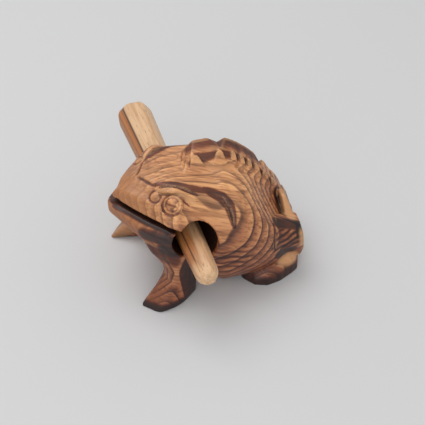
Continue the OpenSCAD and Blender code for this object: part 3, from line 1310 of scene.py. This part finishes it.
    def make(self) -> bpy.types.Material:
        """Build the material.

        Returns:
            The material.
        """
        material, graph = self.start()
        frog = graph.add("ShaderNodeTexCoord").outputs["Object"]
        _, back, height = graph.split(frog)
        place = graph.turned(graph.turned(frog, "Z_AXIS", self.turn), "X_AXIS", self.lean)
        # Painted light: the wood fades to pale towards the top.
        colour = graph.blend(self.pale_fade.of(graph, height), self.figure(graph, place), self.pale)
        for streak in self.streaks:
            colour = streak.over(graph, place, colour)
        snout = self.snout_fade.of(graph, back)
        colour = self.clouds.over(graph, place, graph.blend(snout, colour, self.snout))
        # Redder and darker towards the ground.
        colour = graph.blend(self.red_fade.of(graph, height), colour, self.red, "MULTIPLY")
        # Burns, and painted shade in recesses, hollows, grooves and under the jaw, darken the wood to toast
        # and then to black.
        shade_and_burn = self.shade_and_burn(graph, place)
        colour = graph.blend(self.toast_and_shade_fade.of(graph, shade_and_burn), colour, self.toast_and_shade, "MULTIPLY")
        colour = graph.blend(self.char_and_shade_fade.of(graph, shade_and_burn), colour, self.char_and_shade)
        # Wear, and painted highlight along sharp edges, pale the wood.
        worn = graph.math("MULTIPLY", graph.attribute("worn"), self.worn_share)
        grain = self.grain(graph, place)
        depth = graph.math("MULTIPLY", grain, graph.math("SUBTRACT", 1.0, snout))
        self.surface(graph, graph.blend(worn, colour, self.pale), grain, depth)
        return material


@dataclass(frozen=True)
class PaleWood(Wood):
    """Paler straight-grained wood of the stick, with dark lines between its whittled facets.

    Attributes:
        warm_to: Grain up to which the wood is warm.
        light_from: Grain from which it is light.
        flecks: Short dark flecks along the grain.
    """

    name: str = "pale wood"
    grain_scale: float = 700.0
    grain_detail: float = 4.0
    grain_run: Point = (0.05, 1.0, 1.0)
    smooth: float = 0.35
    open_grain: float = 0.2
    relief: float = 0.0003
    light: Colour = (0.74, 0.48, 0.275, 1.0)
    warm: Colour = (0.56, 0.32, 0.165, 1.0)
    darker: Colour = (0.6, 0.36, 0.2, 1.0)
    line: Colour = (0.07, 0.03, 0.018, 1.0)
    warm_to: float = 0.32
    light_from: float = 0.56
    flecks: Mottle = Mottle(
        scale=1900.0,
        low=(0.6, (1.0, 1.0, 1.0, 1.0)),
        high=(0.74, (0.42, 0.3, 0.22, 1.0)),
        share=0.8,
        run=(0.12, 1.0, 1.0),
    )

    def make(self) -> bpy.types.Material:
        """Build the material.

        Returns:
            The material.
        """
        material, graph = self.start()
        place = graph.add("ShaderNodeTexCoord").outputs["Object"]
        grain = self.grain(graph, place)
        colour = graph.ramp(grain, ((self.warm_to, self.warm), (self.light_from, self.light)))
        colour = self.flecks.over(graph, place, colour)
        # The darker facet, and the stain and painted shade beside the bore, take the darker tint.
        stained_and_shaded = graph.blend(1.0, colour, self.darker, "MULTIPLY")
        colour = graph.blend(graph.attribute("warm"), colour, stained_and_shaded)
        colour = graph.blend(graph.attribute("seam"), colour, self.line)
        self.surface(graph, colour, grain, grain)
        return material


EYELID: tuple[Point, ...] = (
    (10.2, -25.9, 48.0),
    (12.3, -22.9, 49.3),
    (14.1, -20.2, 49.3),
    (16.9, -15.0, 46.0),
)


@dataclass(frozen=True)
class Weathering:
    """Where the frog is darkened, by painted shade and by torch burns, and where it is made paler, by wear
    and painted edge highlight; lengths are in millimetres.

    Attributes:
        recess_reach: How far out of the surface a recess is felt for.
        recess_shade: Most painted shade in a recess, from 0 to 1.
        notch_depth: Depths between which the spine's cuts darken.
        notch_dark: Most darkening in them.
        notch_low: Height above the back down to which they reach.
        hollow_depth: Depths between which painted shade darkens the mouth and bore.
        hollow_near: Distance within which a point belongs to them.
        edge_reach: How far under the surface an edge is felt for.
        edge_pale: How pale an edge gets, as wear and painted highlight, from 0 to 1.
        edge_sharp: Sharpness between which an edge turns pale.
        mouth_clear: Distances from the mouth and bore between which edges start to turn pale.
        ground_clear: Heights between which they do.
        dark_patches: Places darkened: torch burns, and painted shade under the jaw and in the hollows of the
            knee and haunch.
        rubs: Places rubbed pale.
    """

    recess_reach: float = 2.0
    recess_shade: float = 0.9
    notch_depth: Span = (0.1, 0.8)
    notch_dark: float = 0.72
    notch_low: float = -2.5
    hollow_depth: Span = (0.3, 1.8)
    hollow_near: float = 0.8
    edge_reach: float = 1.5
    edge_pale: float = 0.5
    edge_sharp: Span = (0.12, 0.5)
    mouth_clear: Span = (3.0, 9.0)
    ground_clear: Span = (2.0, 5.0)
    dark_patches: tuple[Patch, ...] = (
        # Back of the front legs, and their soles
        Patch(((20.0, -16.0, 2.0), (21.0, -17.0, 12.0), (21.0, -17.0, 20.0)), 7.0, 0.85),
        Patch(((18.0, -37.0, -1.0), (25.0, -30.0, 0.0), (19.0, -16.0, 0.0)), 5.0, 0.95),
        # Side of the jaw and its rim; painted shade under the jaw's corner and on the throat
        Patch(
            ((15.5, -33.2, 33.6), (19.0, -29.0, 33.6), (22.5, -24.5, 33.5), (22.5, -19.0, 32.0)),
            radius=4.2,
            strength=0.85,
        ),
        Patch(((3.0, -41.0, 40.2), (8.0, -37.5, 39.4), (14.5, -32.0, 38.4), (21.0, -25.0, 37.0)), 2.2, 0.95),
        Patch(((21.0, -27.0, 28.0), (22.0, -22.0, 28.0)), 5.5, 0.9),
        Patch(((15.8, -31.7, 26.5), (18.0, -29.2, 24.6), (22.2, -24.3, 22.8)), 5.0, 0.55),
        # Hind soles, ridge of the knee, the knee and its stripes
        Patch(((16.0, 5.0, 0.0), (23.0, 12.0, 0.0), (20.0, 25.0, 1.0)), 6.5, 0.8),
        Patch(((18.5, 18.0, 28.0), (19.5, 27.0, 24.5)), 3.2, 0.85),
        Patch(((23.0, 16.5, 22.0), (21.5, 27.5, 18.0)), 6.0, 0.36),
        Patch(((22.3, 18.0, 21.0), (21.2, 26.5, 21.0)), 7.0, 0.95, stripe=2.3, lean=0.25),
        # Stripes on the lower flank; painted shade in the hollow under the knee and in that of the haunch
        Patch(((26.4, -9.0, 23.0), (26.7, 0.0, 21.5)), 8.5, 0.62, stripe=2.8, lean=-0.2),
        Patch(((22.0, 18.0, 14.5), (20.5, 24.0, 14.0)), 3.6, 0.9),
        Patch(((9.0, 23.2, 30.5), (15.5, 22.6, 26.0)), 1.6, 0.9),
        # Leaf on the flank, and brow
        Patch(
            ((13.5, -10.5, 48.3), (16.9, -3.8, 44.9), (19.6, -1.6, 42.3), (24.8, -1.2, 35.0)),
            radius=2.8,
            strength=0.68,
            leaf=True,
        ),
        Patch(
            ((6.5, -27.6, 48.9), (10.5, -20.3, 50.4), (13.1, -15.4, 49.6), (15.5, -6.0, 46.3)),
            radius=2.0,
            strength=0.6,
            leaf=True,
        ),
        # Far side of the spine
        Patch(((-4.5, -11.0, 57.0), (-4.5, -1.0, 57.0)), 7.5, 0.58),
        Patch(((-4.5, 5.0, 55.0), (-4.5, 17.0, 44.0)), 7.5, 0.7),
    )
    rubs: tuple[Patch, ...] = (
        # Hind foot, haunch and back of the knee
        Patch(((20.0, 25.5, 8.0), (21.0, 21.0, 9.0)), 4.0, 0.9),
        Patch(((8.5, 24.6, 31.5), (15.0, 25.0, 25.0)), 3.6, 0.8),
        Patch(((21.5, 28.0, 24.0), (21.5, 28.3, 16.0)), 2.0, 0.8),
        # Far front foot, and eyelids
        Patch(((-22.5, -38.0, 1.0), (-19.5, -31.0, 8.0)), 7.0, 0.45),
        Patch(EYELID, 1.6, 0.85),
    )


@dataclass
class Frog:
    """The frog, carved whole from one block, in millimetres.

    Attributes:
        low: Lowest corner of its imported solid, in metres.
        high: Highest corner.
        cell: Width of a cell of the skin.
        margin_cells: Cells of the skin's grid that stand clear of the solid all round.
        right_splay: How far the right front foot is set out.
        splay_way: Direction in which it is.
        splay_top: Height at which that begins.
        leg_root_z: Height below which a front leg flares out of the jaw's outline.
        leg_flare: How far it flares for each millimetre down.
        detail_reach: Distance from the surface within which lines and eyes are carved.
        normal_reach: Reach over which the surface's direction is taken.
    """

    low: Vector
    high: Vector
    cell: float = 0.5
    margin_cells: float = 3.0
    finish: RingWood = field(default_factory=RingWood)
    weather: Weathering = field(default_factory=Weathering)
    front_leg: Limb = Limb(
        z=(-1.0, 3.0, 7.0, 12.0, 17.0, 24.0, 31.0),
        corners=(
            ((17.5, -39.0), (25.3, -31.8), (23.4, -21.8), (16.0, -13.2), (12.7, -14.5), (15.7, -29.2)),
            ((17.4, -35.5), (24.9, -30.0), (23.2, -21.4), (17.0, -13.4), (12.2, -14.5), (14.6, -27.6)),
            ((17.0, -31.5), (23.9, -27.8), (22.8, -20.8), (17.8, -13.6), (11.5, -14.5), (13.2, -26.0)),
            ((16.0, -26.9), (22.8, -25.2), (22.6, -20.0), (18.5, -14.0), (10.5, -14.5), (10.8, -24.5)),
            ((15.5, -27.5), (22.4, -24.6), (22.4, -19.4), (19.0, -14.0), (10.5, -15.0), (10.5, -25.5)),
            ((15.0, -32.0), (22.4, -25.0), (22.4, -18.6), (20.0, -14.5), (10.5, -16.0), (10.5, -29.5)),
            ((13.5, -35.0), (22.7, -24.5), (22.5, -18.0), (20.5, -15.5), (10.5, -17.0), (10.5, -32.5)),
        ),
        blend=2.2,
    )
    knee: Limb = Limb(
        z=(8.0, 12.5, 17.0, 21.0, 25.0, 28.8),
        corners=(
            ((12.0, 20.0), (17.0, 20.0), (18.5, 23.0), (19.5, 28.8), (12.0, 29.5)),
            ((12.0, 18.0), (19.5, 18.0), (20.0, 21.0), (20.3, 29.6), (12.0, 30.5)),
            ((12.0, 17.0), (22.4, 16.8), (22.6, 20.0), (21.6, 28.9), (12.0, 30.5)),
            ((12.0, 16.5), (22.8, 16.2), (22.6, 20.0), (21.6, 28.5), (12.0, 30.0)),
            ((12.0, 16.5), (21.6, 16.4), (21.0, 20.0), (19.3, 27.9), (12.0, 28.5)),
            ((15.0, 16.5), (18.8, 16.8), (18.0, 17.8), (17.0, 18.6), (15.0, 18.0)),
        ),
    )
    haunch: Limb = Limb(
        z=(18.0, 25.0, 29.0, 31.8),
        corners=(
            ((4.0, 22.0), (17.5, 22.8), (17.0, 28.0), (4.0, 31.0)),
            ((4.0, 23.0), (15.5, 23.4), (15.0, 26.9), (4.0, 28.6)),
            ((4.0, 23.4), (12.0, 23.6), (11.5, 26.1), (4.0, 26.8)),
            ((4.0, 23.8), (9.0, 23.8), (8.8, 25.3), (4.0, 25.6)),
        ),
        blend=0.8,
    )
    hind_foot: Foot = Foot(
        y=(5.3, 8.8, 13.4, 19.0, 24.9, 28.6),
        inner=(10.0, 10.0, 9.0, 9.0, 9.0, 9.0),
        outer=(17.0, 21.9, 23.8, 22.9, 20.2, 18.0),
        ridge_x=(15.0, 18.0, 19.5, 18.5, 17.5, 16.5),
        eaves=(2.5, 3.0, 4.0, 5.0, 7.0, 8.0),
        ridge=(3.5, 6.0, 8.5, 10.0, 12.0, 12.5),
    )
    hip: Chop = Chop((7.0, 17.6, 35.0), (20.6, 12.8, 32.6), (12.0, 22.6, 25.6))
    bosses: tuple[Boss, ...] = (
        Boss((17.2, -22.9, 46.7), radius=3.8, height=0.5, groove=0.38, slit=1.9, slit_drop=0.4, iris=2.6),
        Boss((11.3, -27.6, 46.9), radius=2.1, height=0.5, groove=0.3, slit=1.3, slit_drop=2.3),
    )
    furrows: tuple[Furrow, ...] = (
        # Brow
        Furrow(
            ((0.4, -31.6, 49.4), (2.9, -29.8, 49.4), (6.0, -28.1, 49.2), (8.6, -26.3, 49.2)),
            radius=0.6,
            darkening=0.45,
        ),
        # Eyelid, between two knife lines
        Furrow(((9.3, -25.3, 49.0), (11.2, -22.0, 50.1), (12.9, -18.8, 50.0), (15.5, -12.5, 46.8)), 0.5),
        Furrow(EYELID, 1.0, raised=True),
        Furrow(((11.1, -26.4, 47.4), (13.1, -23.2, 48.6), (15.0, -20.7, 48.7), (18.2, -16.8, 45.2)), 0.4),
        # Leaf on the flank, and front of the knee
        Furrow(((14.4, -9.0, 47.0), (16.9, -3.6, 44.5), (20.7, -1.7, 41.2), (24.0, -1.5, 36.0)), 0.5),
        Furrow(((19.7, 16.7, 29.2), (21.7, 16.3, 27.0), (23.5, 15.7, 23.5), (23.9, 15.9, 18.0)), 0.6),
    )
    right_splay: float = 5.0
    splay_way: Point = (1.0, -0.3, 0.0)
    splay_top: float = 25.0
    leg_root_z: float = 32.0
    leg_flare: float = 1.2
    detail_reach: float = 6.0
    normal_reach: float = 0.3
    head_blend: float = 5.0
    jaw_blend: float = 1.0
    leg_blend: float = 1.0
    hip_blend: float = 0.5
    knee_blend: float = 0.8
    haunch_blend: float = 0.4
    hind_blend: float = 0.5
    notch_blend: float = 0.4
    spine_blend: float = 1.0
    hollow_blend: float = 0.7
    sole_blend: float = 0.5

    def __post_init__(self) -> None:
        """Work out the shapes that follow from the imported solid's box."""
        self.torso = Torso(-self.low.y / MM, self.high.y / MM / Torso.rump_end, 2.0 * self.high.x / MM)
        self.mouth = Mouth()
        self.head = Head(self.mouth, self.low.y / MM)
        self.spine = Spine(self.torso)

    def rough(self, p: Array) -> Array:
        """Measure how far points lie outside the roughed-out frog, before its spine, lines and hollows.

        Args:
            p: Points.

        Returns:
            Signed distances, negative inside.
        """
        left, z = mirrored(p), p[:, 2]
        shape = soft_min(self.torso.distance(p), self.head.upper(p), self.head_blend)
        shape = soft_min(shape, self.head.jaw(p), self.jaw_blend)
        jaw_half = self.head.lip_half(p[:, 1], self.head.jaw_tip)
        under = left[:, 0] - jaw_half - np.maximum(self.leg_root_z - z, 0.0) * self.leg_flare
        splay = self.right_splay * np.clip(1.0 - z / self.splay_top, 0.0, 1.0) * (p[:, 0] < 0.0)
        leg = self.front_leg.distance(left - np.outer(splay, self.splay_way))
        shape = soft_min(shape, soft_max(leg, under, self.leg_blend), self.leg_blend)
        shape = soft_max(shape, self.hip.distance(left), self.hip_blend)
        shape = soft_min(shape, self.haunch.distance(left), self.haunch_blend)
        hind = soft_min(self.knee.distance(left), self.hind_foot.distance(left), self.knee_blend)
        return soft_min(shape, hind, self.hind_blend)

    def ridged(self, p: Array) -> Array:
        """Distances from the frog with its spine on and notched, before lines and hollows."""
        spine = soft_max(self.spine.distance(p), -self.spine.cut(p), self.notch_blend)
        return soft_min(self.rough(p), spine, self.spine_blend)

    def carved(self, p: Array) -> Array:
        """Measure how far points lie outside the finished carving.

        Args:
            p: Points.

        Returns:
            Signed distances, negative inside.
        """
        left = mirrored(p)
        shape = self.ridged(p)
        near = np.abs(shape) < self.detail_reach
        close, body = left[near], shape[near]
        for detail in (*self.furrows, *self.bosses):
            body = detail.carve(close, body, self.rough)
        shape[near] = body
        shape = soft_max(shape, -self.mouth.distance(p), self.hollow_blend)
        return soft_max(shape, -p[:, 2], self.sole_blend)

    def build(self) -> bpy.types.Object:
        """Skin the carving.

        Returns:
            The carving as an object, with its painted shade, scorch, wear and painted edge highlight on it.
        """
        margin = self.margin_cells * self.cell
        low = tuple(v / MM - margin for v in self.low)
        high = tuple(v / MM + margin for v in self.high)
        points, faces = SkinGrid(low, high, self.cell).skin(self.carved)
        points = settle(self.carved, points, limit=self.cell)
        mesh = bpy.data.meshes.new("carved_frog")
        mesh.from_pydata((points * MM).tolist(), [], faces.tolist())
        mesh.shade_smooth()
        store(mesh, scorch=self.scorch(points), worn=self.worn(points))
        mesh.validate()
        return bpy.data.objects.new("carved_frog", mesh)

    def normals(self, points: Array) -> Array:
        """Directions square to the surface at some points on it."""
        slope = slope_of(self.carved, points, self.normal_reach)
        return slope / np.maximum(np.linalg.norm(slope, axis=1), TINY)[:, None]

    def scorch(self, points: Array) -> Array:
        """Find how far points are darkened: painted shade in recesses, hollows and grooves, darkening in the
        notches, and the dark patches.

        Args:
            points: Points on the surface.

        Returns:
            The painted shade and scorch on each, from 0 to 1.
        """
        darkening = self.weather
        # Painted shade: recesses, where other surface lies close in front, are darkened.
        felt = self.carved(points + self.normals(points) * darkening.recess_reach) / darkening.recess_reach
        recess = 1.0 - np.clip(felt, 0.0, 1.0)
        height, _ = self.spine.height_at(points)
        uncut = soft_min(self.rough(points), self.spine.distance(points), self.spine_blend)
        # The spine's cuts are darkened.
        notch = step_up(-uncut, *darkening.notch_depth) * (height > darkening.notch_low)
        # Painted shade deep in the mouth slot and in the bore.
        hollow = step_up(-uncut, *darkening.hollow_depth) * (self.mouth.distance(points) < darkening.hollow_near)
        dark = np.maximum(recess * darkening.recess_shade, np.maximum(notch * darkening.notch_dark, hollow))
        left = mirrored(points)
        # Painted shade in the knife lines and in the grooves round the eye and nose bosses.
        for detail in (*self.furrows, *self.bosses):
            dark = np.maximum(dark, detail.shade(left, self.rough))
        # Torch burns, and painted shade under the jaw and in the hollows of the knee and haunch.
        for dark_patch in darkening.dark_patches:
            dark = np.maximum(dark, dark_patch.share(points))
        return dark

    def worn(self, points: Array) -> Array:
        """Find how far points are paled: wear with a painted highlight along sharp edges, and wear at the
        rubs.

        Args:
            points: Points on the surface.

        Returns:
            The wear and painted highlight on each, from 0 to 1.
        """
        paling = self.weather
        inner = self.carved(points - self.normals(points) * paling.edge_reach) / paling.edge_reach
        # Sharp edges are paled: wear, with a painted highlight where light would catch them.
        pale = paling.edge_pale * step_up(1.0 + inner, *paling.edge_sharp)
        pale = pale * step_up(self.mouth.distance(points), *paling.mouth_clear)
        pale = pale * step_up(points[:, 2], *paling.ground_clear)
        for rub in paling.rubs:
            pale = np.maximum(pale, rub.share(points))
        return pale

    def dress(self, piece: bpy.types.Object) -> None:
        """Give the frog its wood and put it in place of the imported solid.

        Args:
            piece: The carving.
        """
        piece.data.materials.append(self.finish.make())
        bpy.context.scene.collection.objects.link(piece)
        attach(piece, "frog")
        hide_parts("frog_body")


@dataclass(frozen=True)
class Facet:
    """Flat side of the stick.

    Attributes:
        angle: Direction that it faces, in degrees from +Y towards +Z.
        reach: Its distance from the stick's middle, as a share of the stick's half width.
        darker: Whether it is darker, with a dark line along its edges.
    """

    angle: float
    reach: float
    darker: bool = False


@dataclass
class StrikerStick:
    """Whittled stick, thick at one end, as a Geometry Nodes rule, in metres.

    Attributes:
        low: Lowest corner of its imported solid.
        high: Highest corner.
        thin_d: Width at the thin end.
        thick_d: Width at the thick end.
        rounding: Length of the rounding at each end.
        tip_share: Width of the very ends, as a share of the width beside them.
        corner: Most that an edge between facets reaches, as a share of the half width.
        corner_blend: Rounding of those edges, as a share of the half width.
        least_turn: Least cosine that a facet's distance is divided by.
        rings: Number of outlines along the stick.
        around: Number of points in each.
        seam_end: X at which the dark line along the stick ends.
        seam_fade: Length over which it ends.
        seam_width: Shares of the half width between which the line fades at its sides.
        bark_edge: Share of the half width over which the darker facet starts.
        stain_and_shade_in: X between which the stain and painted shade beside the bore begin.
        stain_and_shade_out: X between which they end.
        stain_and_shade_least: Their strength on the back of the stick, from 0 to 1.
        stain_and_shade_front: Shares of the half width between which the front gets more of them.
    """

    low: Vector
    high: Vector
    thin_d: float = 0.0084
    thick_d: float = 0.0146
    rounding: float = 0.005
    tip_share: float = 0.4
    corner: float = 1.05
    corner_blend: float = 0.1
    least_turn: float = 0.3
    rings: int = 160
    around: int = 96
    seam_end: float = 0.037
    seam_fade: float = 0.006
    seam_width: Span = (0.02, 0.08)
    bark_edge: float = 0.02
    stain_and_shade_in: Span = (0.0, 0.01)
    stain_and_shade_out: Span = (0.026, 0.042)
    stain_and_shade_least: float = 0.35
    stain_and_shade_front: Span = (-0.1, 0.5)
    finish: PaleWood = field(default_factory=PaleWood)
    facets: tuple[Facet, ...] = (
        Facet(160.0, 0.95, True),
        Facet(108.0, 0.95),
        Facet(57.0, 0.965),
        Facet(5.0, 0.965),
        Facet(313.0, 0.985),
        Facet(270.0, 0.97),
        Facet(216.0, 0.985),
    )

    def tree(self) -> bpy.types.NodeTree:
        """Build the rule: a tapered line swept with the facets' outline, with its ends rounded.

        Returns:
            The node tree, with its sizes as named inputs.
        """
        tree = bpy.data.node_groups.new("whittled stick", "GeometryNodeTree")
        kinds = {
            "Thick End": "NodeSocketVector",
            "Thin End": "NodeSocketVector",
            "Thick Radius": "NodeSocketFloat",
            "Thin Radius": "NodeSocketFloat",
            "Rounding": "NodeSocketFloat",
            "Finish": "NodeSocketMaterial",
        }
        for name, kind in kinds.items():
            tree.interface.new_socket(name, in_out="INPUT", socket_type=kind)
        tree.interface.new_socket("Stick", in_out="OUTPUT", socket_type="NodeSocketGeometry")
        graph = NodeGraph(tree)
        size = {socket.name: socket for socket in graph.add("NodeGroupInput").outputs}
        ends = {"Start": size["Thick End"], "End": size["Thin End"]}
        line = graph.add("GeometryNodeCurvePrimitiveLine", ends).outputs[0]
        path = graph.add("GeometryNodeResampleCurve", {"Curve": line, "Count": self.rings}).outputs[0]
        upright = graph.add("GeometryNodeSetCurveNormal", {"Curve": path}, mode="Z_UP").outputs[0]
        radius = self.radius(graph, size)
        swollen = graph.add("GeometryNodeSetCurveRadius", {"Curve": upright, "Radius": radius}).outputs[0]
        sweep = {"Curve": swollen, "Profile Curve": self.outline(graph), "Scale": radius, "Fill Caps": True}
        skin = graph.add("GeometryNodeCurveToMesh", sweep).outputs[0]
        smooth = graph.add("GeometryNodeSetShadeSmooth", {"Geometry": skin}).outputs[0]
        plain = graph.add("GeometryNodeRealizeInstances", {"Geometry": smooth}).outputs[0]
        dressed = graph.add("GeometryNodeSetMaterial", {"Geometry": plain, "Material": size["Finish"]})
        graph.add("NodeGroupOutput", {0: dressed.outputs[0]})
        return tree

    def radius(self, graph: NodeGraph, size: dict[str, Socket]) -> Socket:
        """Add the stick's radius along its length: a taper that is drawn in at both ends.

        Args:
            graph: Tree that the nodes go into.
            size: The rule's inputs, by name.

        Returns:
            The radius.
        """
        spline = graph.add("GeometryNodeSplineParameter").outputs
        widths = {"To Min": size["Thick Radius"], "To Max": size["Thin Radius"]}
        taper = graph.add("ShaderNodeMapRange", {"Value": spline["Factor"], **widths}).outputs[0]
        whole = graph.add("GeometryNodeSplineLength").outputs[0]
        from_end = graph.math("MINIMUM", spline["Length"], graph.math("SUBTRACT", whole, spline["Length"]))
        inward = graph.math("MINIMUM", graph.math("DIVIDE", from_end, size["Rounding"]), 1.0)
        left = graph.math("SUBTRACT", 1.0, inward)
        bow = graph.math("SQRT", graph.math("SUBTRACT", 1.0, graph.math("MULTIPLY", left, left)))
        swell = graph.math("MULTIPLY_ADD", bow, 1.0 - self.tip_share, self.tip_share)
        return graph.math("MULTIPLY", taper, swell)

    def outline(self, graph: NodeGraph) -> Socket:
        """Add the outline across the stick: a circle drawn in to the nearest facet all round.

        Args:
            graph: Tree that the nodes go into.

        Returns:
            The outline as a curve.
        """
        unit = {"Resolution": self.around, "Radius": 1.0}
        circle = graph.add("GeometryNodeCurvePrimitiveCircle", unit).outputs[0]
        place = graph.add("GeometryNodeInputPosition").outputs[0]
        x, y, _ = graph.split(place)
        angle = graph.math("ARCTAN2", y, x)
        reach: Socket | float = self.corner
        for facet in self.facets:
            turn = graph.math("COSINE", graph.math("SUBTRACT", angle, math.radians(facet.angle)))
            side = graph.math("DIVIDE", facet.reach, graph.math("MAXIMUM", turn, self.least_turn))
            reach = graph.math("SMOOTH_MIN", reach, side, self.corner_blend)
        drawn = {"Geometry": circle, "Position": graph.scaled(place, reach)}
        return graph.add("GeometryNodeSetPosition", drawn).outputs[0]

    def build(self) -> bpy.types.Object:
        """Run the rule.

        Returns:
            Its plain mesh as an object, marked for its finish.
        """
        tree = self.tree()
        carrier = bpy.data.objects.new("stick_rule", bpy.data.meshes.new("stick_rule"))
        bpy.context.scene.collection.objects.link(carrier)
        rule = carrier.modifiers.new("whittle", "NODES")
        rule.node_group = tree
        mid_y = (self.low.y + self.high.y) / 2.0
        values = {
            "Thick End": (self.low.x, mid_y, self.low.z + self.thick_d / 2.0),
            "Thin End": (self.high.x, mid_y, self.low.z + self.thin_d / 2.0),
            "Thick Radius": self.thick_d / 2.0,
            "Thin Radius": self.thin_d / 2.0,
            "Rounding": self.rounding,
            "Finish": self.finish.make(),
        }
        for item in tree.interface.items_tree:
            if item.in_out == "INPUT":
                rule[item.identifier] = values[item.name]
        graph = bpy.context.evaluated_depsgraph_get()
        mesh = bpy.data.meshes.new_from_object(carrier.evaluated_get(graph))
        bpy.data.objects.remove(carrier)
        mesh.name = "whittled_stick"
        self.mark(mesh)
        return bpy.data.objects.new("whittled_stick", mesh)

    def mark(self, mesh: bpy.types.Mesh) -> None:
        """Store how close points lie to the edges of the darker facet, and how far the wood is stained and
        painted with shade beside the bore.

        Args:
            mesh: The stick's mesh.
        """
        points = np.empty(len(mesh.vertices) * 3, np.float32)
        mesh.vertices.foreach_get("co", points)
        x, y, z = points.reshape(-1, 3).T
        share = (x - self.low.x) / (self.high.x - self.low.x)
        half = (self.thick_d + (self.thin_d - self.thick_d) * share) / 2.0
        out_y = (y - (self.low.y + self.high.y) / 2.0) / half
        out_z = (z - self.low.z - half) / half
        turns = np.radians([facet.angle for facet in self.facets])
        reach = np.array([facet.reach for facet in self.facets])
        darker = np.array([facet.darker for facet in self.facets])
        gap = np.outer(out_y, np.cos(turns)) + np.outer(out_z, np.sin(turns)) - reach
        lead = gap[:, darker].max(axis=1) - gap[:, ~darker].max(axis=1)
        inward = 1.0 - step_up(x, self.seam_end - self.seam_fade, self.seam_end)
        seam = (1.0 - step_up(np.abs(lead), *self.seam_width)) * inward
        barked = step_up(lead, -self.bark_edge, self.bark_edge) * inward
        # Stain and painted shade on the stick beside the bore, stronger on its front.
        stain_and_shade = step_up(x, *self.stain_and_shade_in) * (1.0 - step_up(x, *self.stain_and_shade_out))
        front = self.stain_and_shade_least + (1.0 - self.stain_and_shade_least) * step_up(-out_y, *self.stain_and_shade_front)
        store(mesh, seam=seam, warm=np.maximum(barked, stain_and_shade * front))

    def dress(self, piece: bpy.types.Object) -> None:
        """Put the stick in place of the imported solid.

        Args:
            piece: The stick, in its wood.
        """
        bpy.context.scene.collection.objects.link(piece)
        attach(piece, "stick")
        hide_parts("striker_stick")


@dataclass(frozen=True)
class Lamp:
    """Square lamp that faces the frog: its place and width in metres, its power in watts."""

    name: str
    at: Point
    width: float
    power: float


@dataclass(frozen=True)
class Studio:
    """Pale floor, soft lamps and the camera, in metres."""

    camera_at: Point = (0.31723, -0.10777, 0.31364)
    camera_target: Point = (-0.00484, 0.0, 0.01841)
    lens: float = 95.4
    clip_start: float = 0.01
    floor_half: float = 3.0
    floor_colour: Colour = (0.64, 0.64, 0.645, 1.0)
    floor_roughness: float = 0.9
    world_colour: Colour = (1.0, 1.0, 1.0, 1.0)
    world_strength: float = 0.6
    lamps: tuple[Lamp, ...] = (
        Lamp("key", (-0.25, -0.2, 0.8), 0.6, 2.8),
        Lamp("fill", (0.7, -0.3, 0.5), 0.8, 2.2),
    )

    def floor(self) -> None:
        """Lay the floor."""
        half = self.floor_half
        mesh = bpy.data.meshes.new("floor")
        corners = [(-half, -half, 0.0), (half, -half, 0.0), (half, half, 0.0), (-half, half, 0.0)]
        mesh.from_pydata(corners, [], [(0, 1, 2, 3)])
        material = bpy.data.materials.new("floor")
        material.use_nodes = True
        shader = material.node_tree.nodes["Principled BSDF"]
        shader.inputs["Base Color"].default_value = self.floor_colour
        shader.inputs["Roughness"].default_value = self.floor_roughness
        mesh.materials.append(material)
        floor = bpy.data.objects.new("floor", mesh)
        bpy.context.scene.collection.objects.link(floor)

    def aimed(self, name: str, data: bpy.types.ID, at: Point) -> bpy.types.Object:
        """Put up a lamp or a camera that faces the frog.

        Args:
            name: Its name.
            data: Its own settings.
            at: Its place.

        Returns:
            The lamp or camera.
        """
        thing = bpy.data.objects.new(name, data)
        thing.location = at
        aim = Vector(self.camera_target) - Vector(at)
        thing.rotation_euler = aim.to_track_quat("-Z", "Y").to_euler()
        bpy.context.scene.collection.objects.link(thing)
        return thing

    def light(self) -> None:
        """Light the scene evenly from all round, and from the lamps."""
        scene = bpy.context.scene
        scene.world = bpy.data.worlds.new("studio")
        scene.world.use_nodes = True
        background = scene.world.node_tree.nodes["Background"]
        background.inputs["Color"].default_value = self.world_colour
        background.inputs["Strength"].default_value = self.world_strength
        for lamp in self.lamps:
            light = bpy.data.lights.new(lamp.name, "AREA")
            light.size = lamp.width
            light.energy = lamp.power
            self.aimed(lamp.name, light, lamp.at)

    def camera(self) -> None:
        """Set up the camera at the photograph's angle."""
        data = bpy.data.cameras.new("camera")
        data.lens = self.lens
        data.clip_start = self.clip_start
        bpy.context.scene.camera = self.aimed("camera", data, self.camera_at)

    def set_up(self) -> None:
        """Lay the floor, light the scene and place the camera."""
        bpy.context.scene.view_settings.view_transform = "Standard"
        self.floor()
        self.light()
        self.camera()


def main() -> None:
    """Build the studio, and the frog and the stick from their imported solids' boxes; log each one's points
    and faces.
    """
    logging.basicConfig(level=logging.INFO)
    Studio().set_up()
    for node, maker in (("frog_body", Frog), ("striker_stick", StrikerStick)):
        sub_assembly = maker(*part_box(node))
        piece = sub_assembly.build()
        sub_assembly.dress(piece)
        LOG.info("%s: %d points, %d faces", piece.name, len(piece.data.vertices), len(piece.data.polygons))


if __name__ == "__main__":
    main()
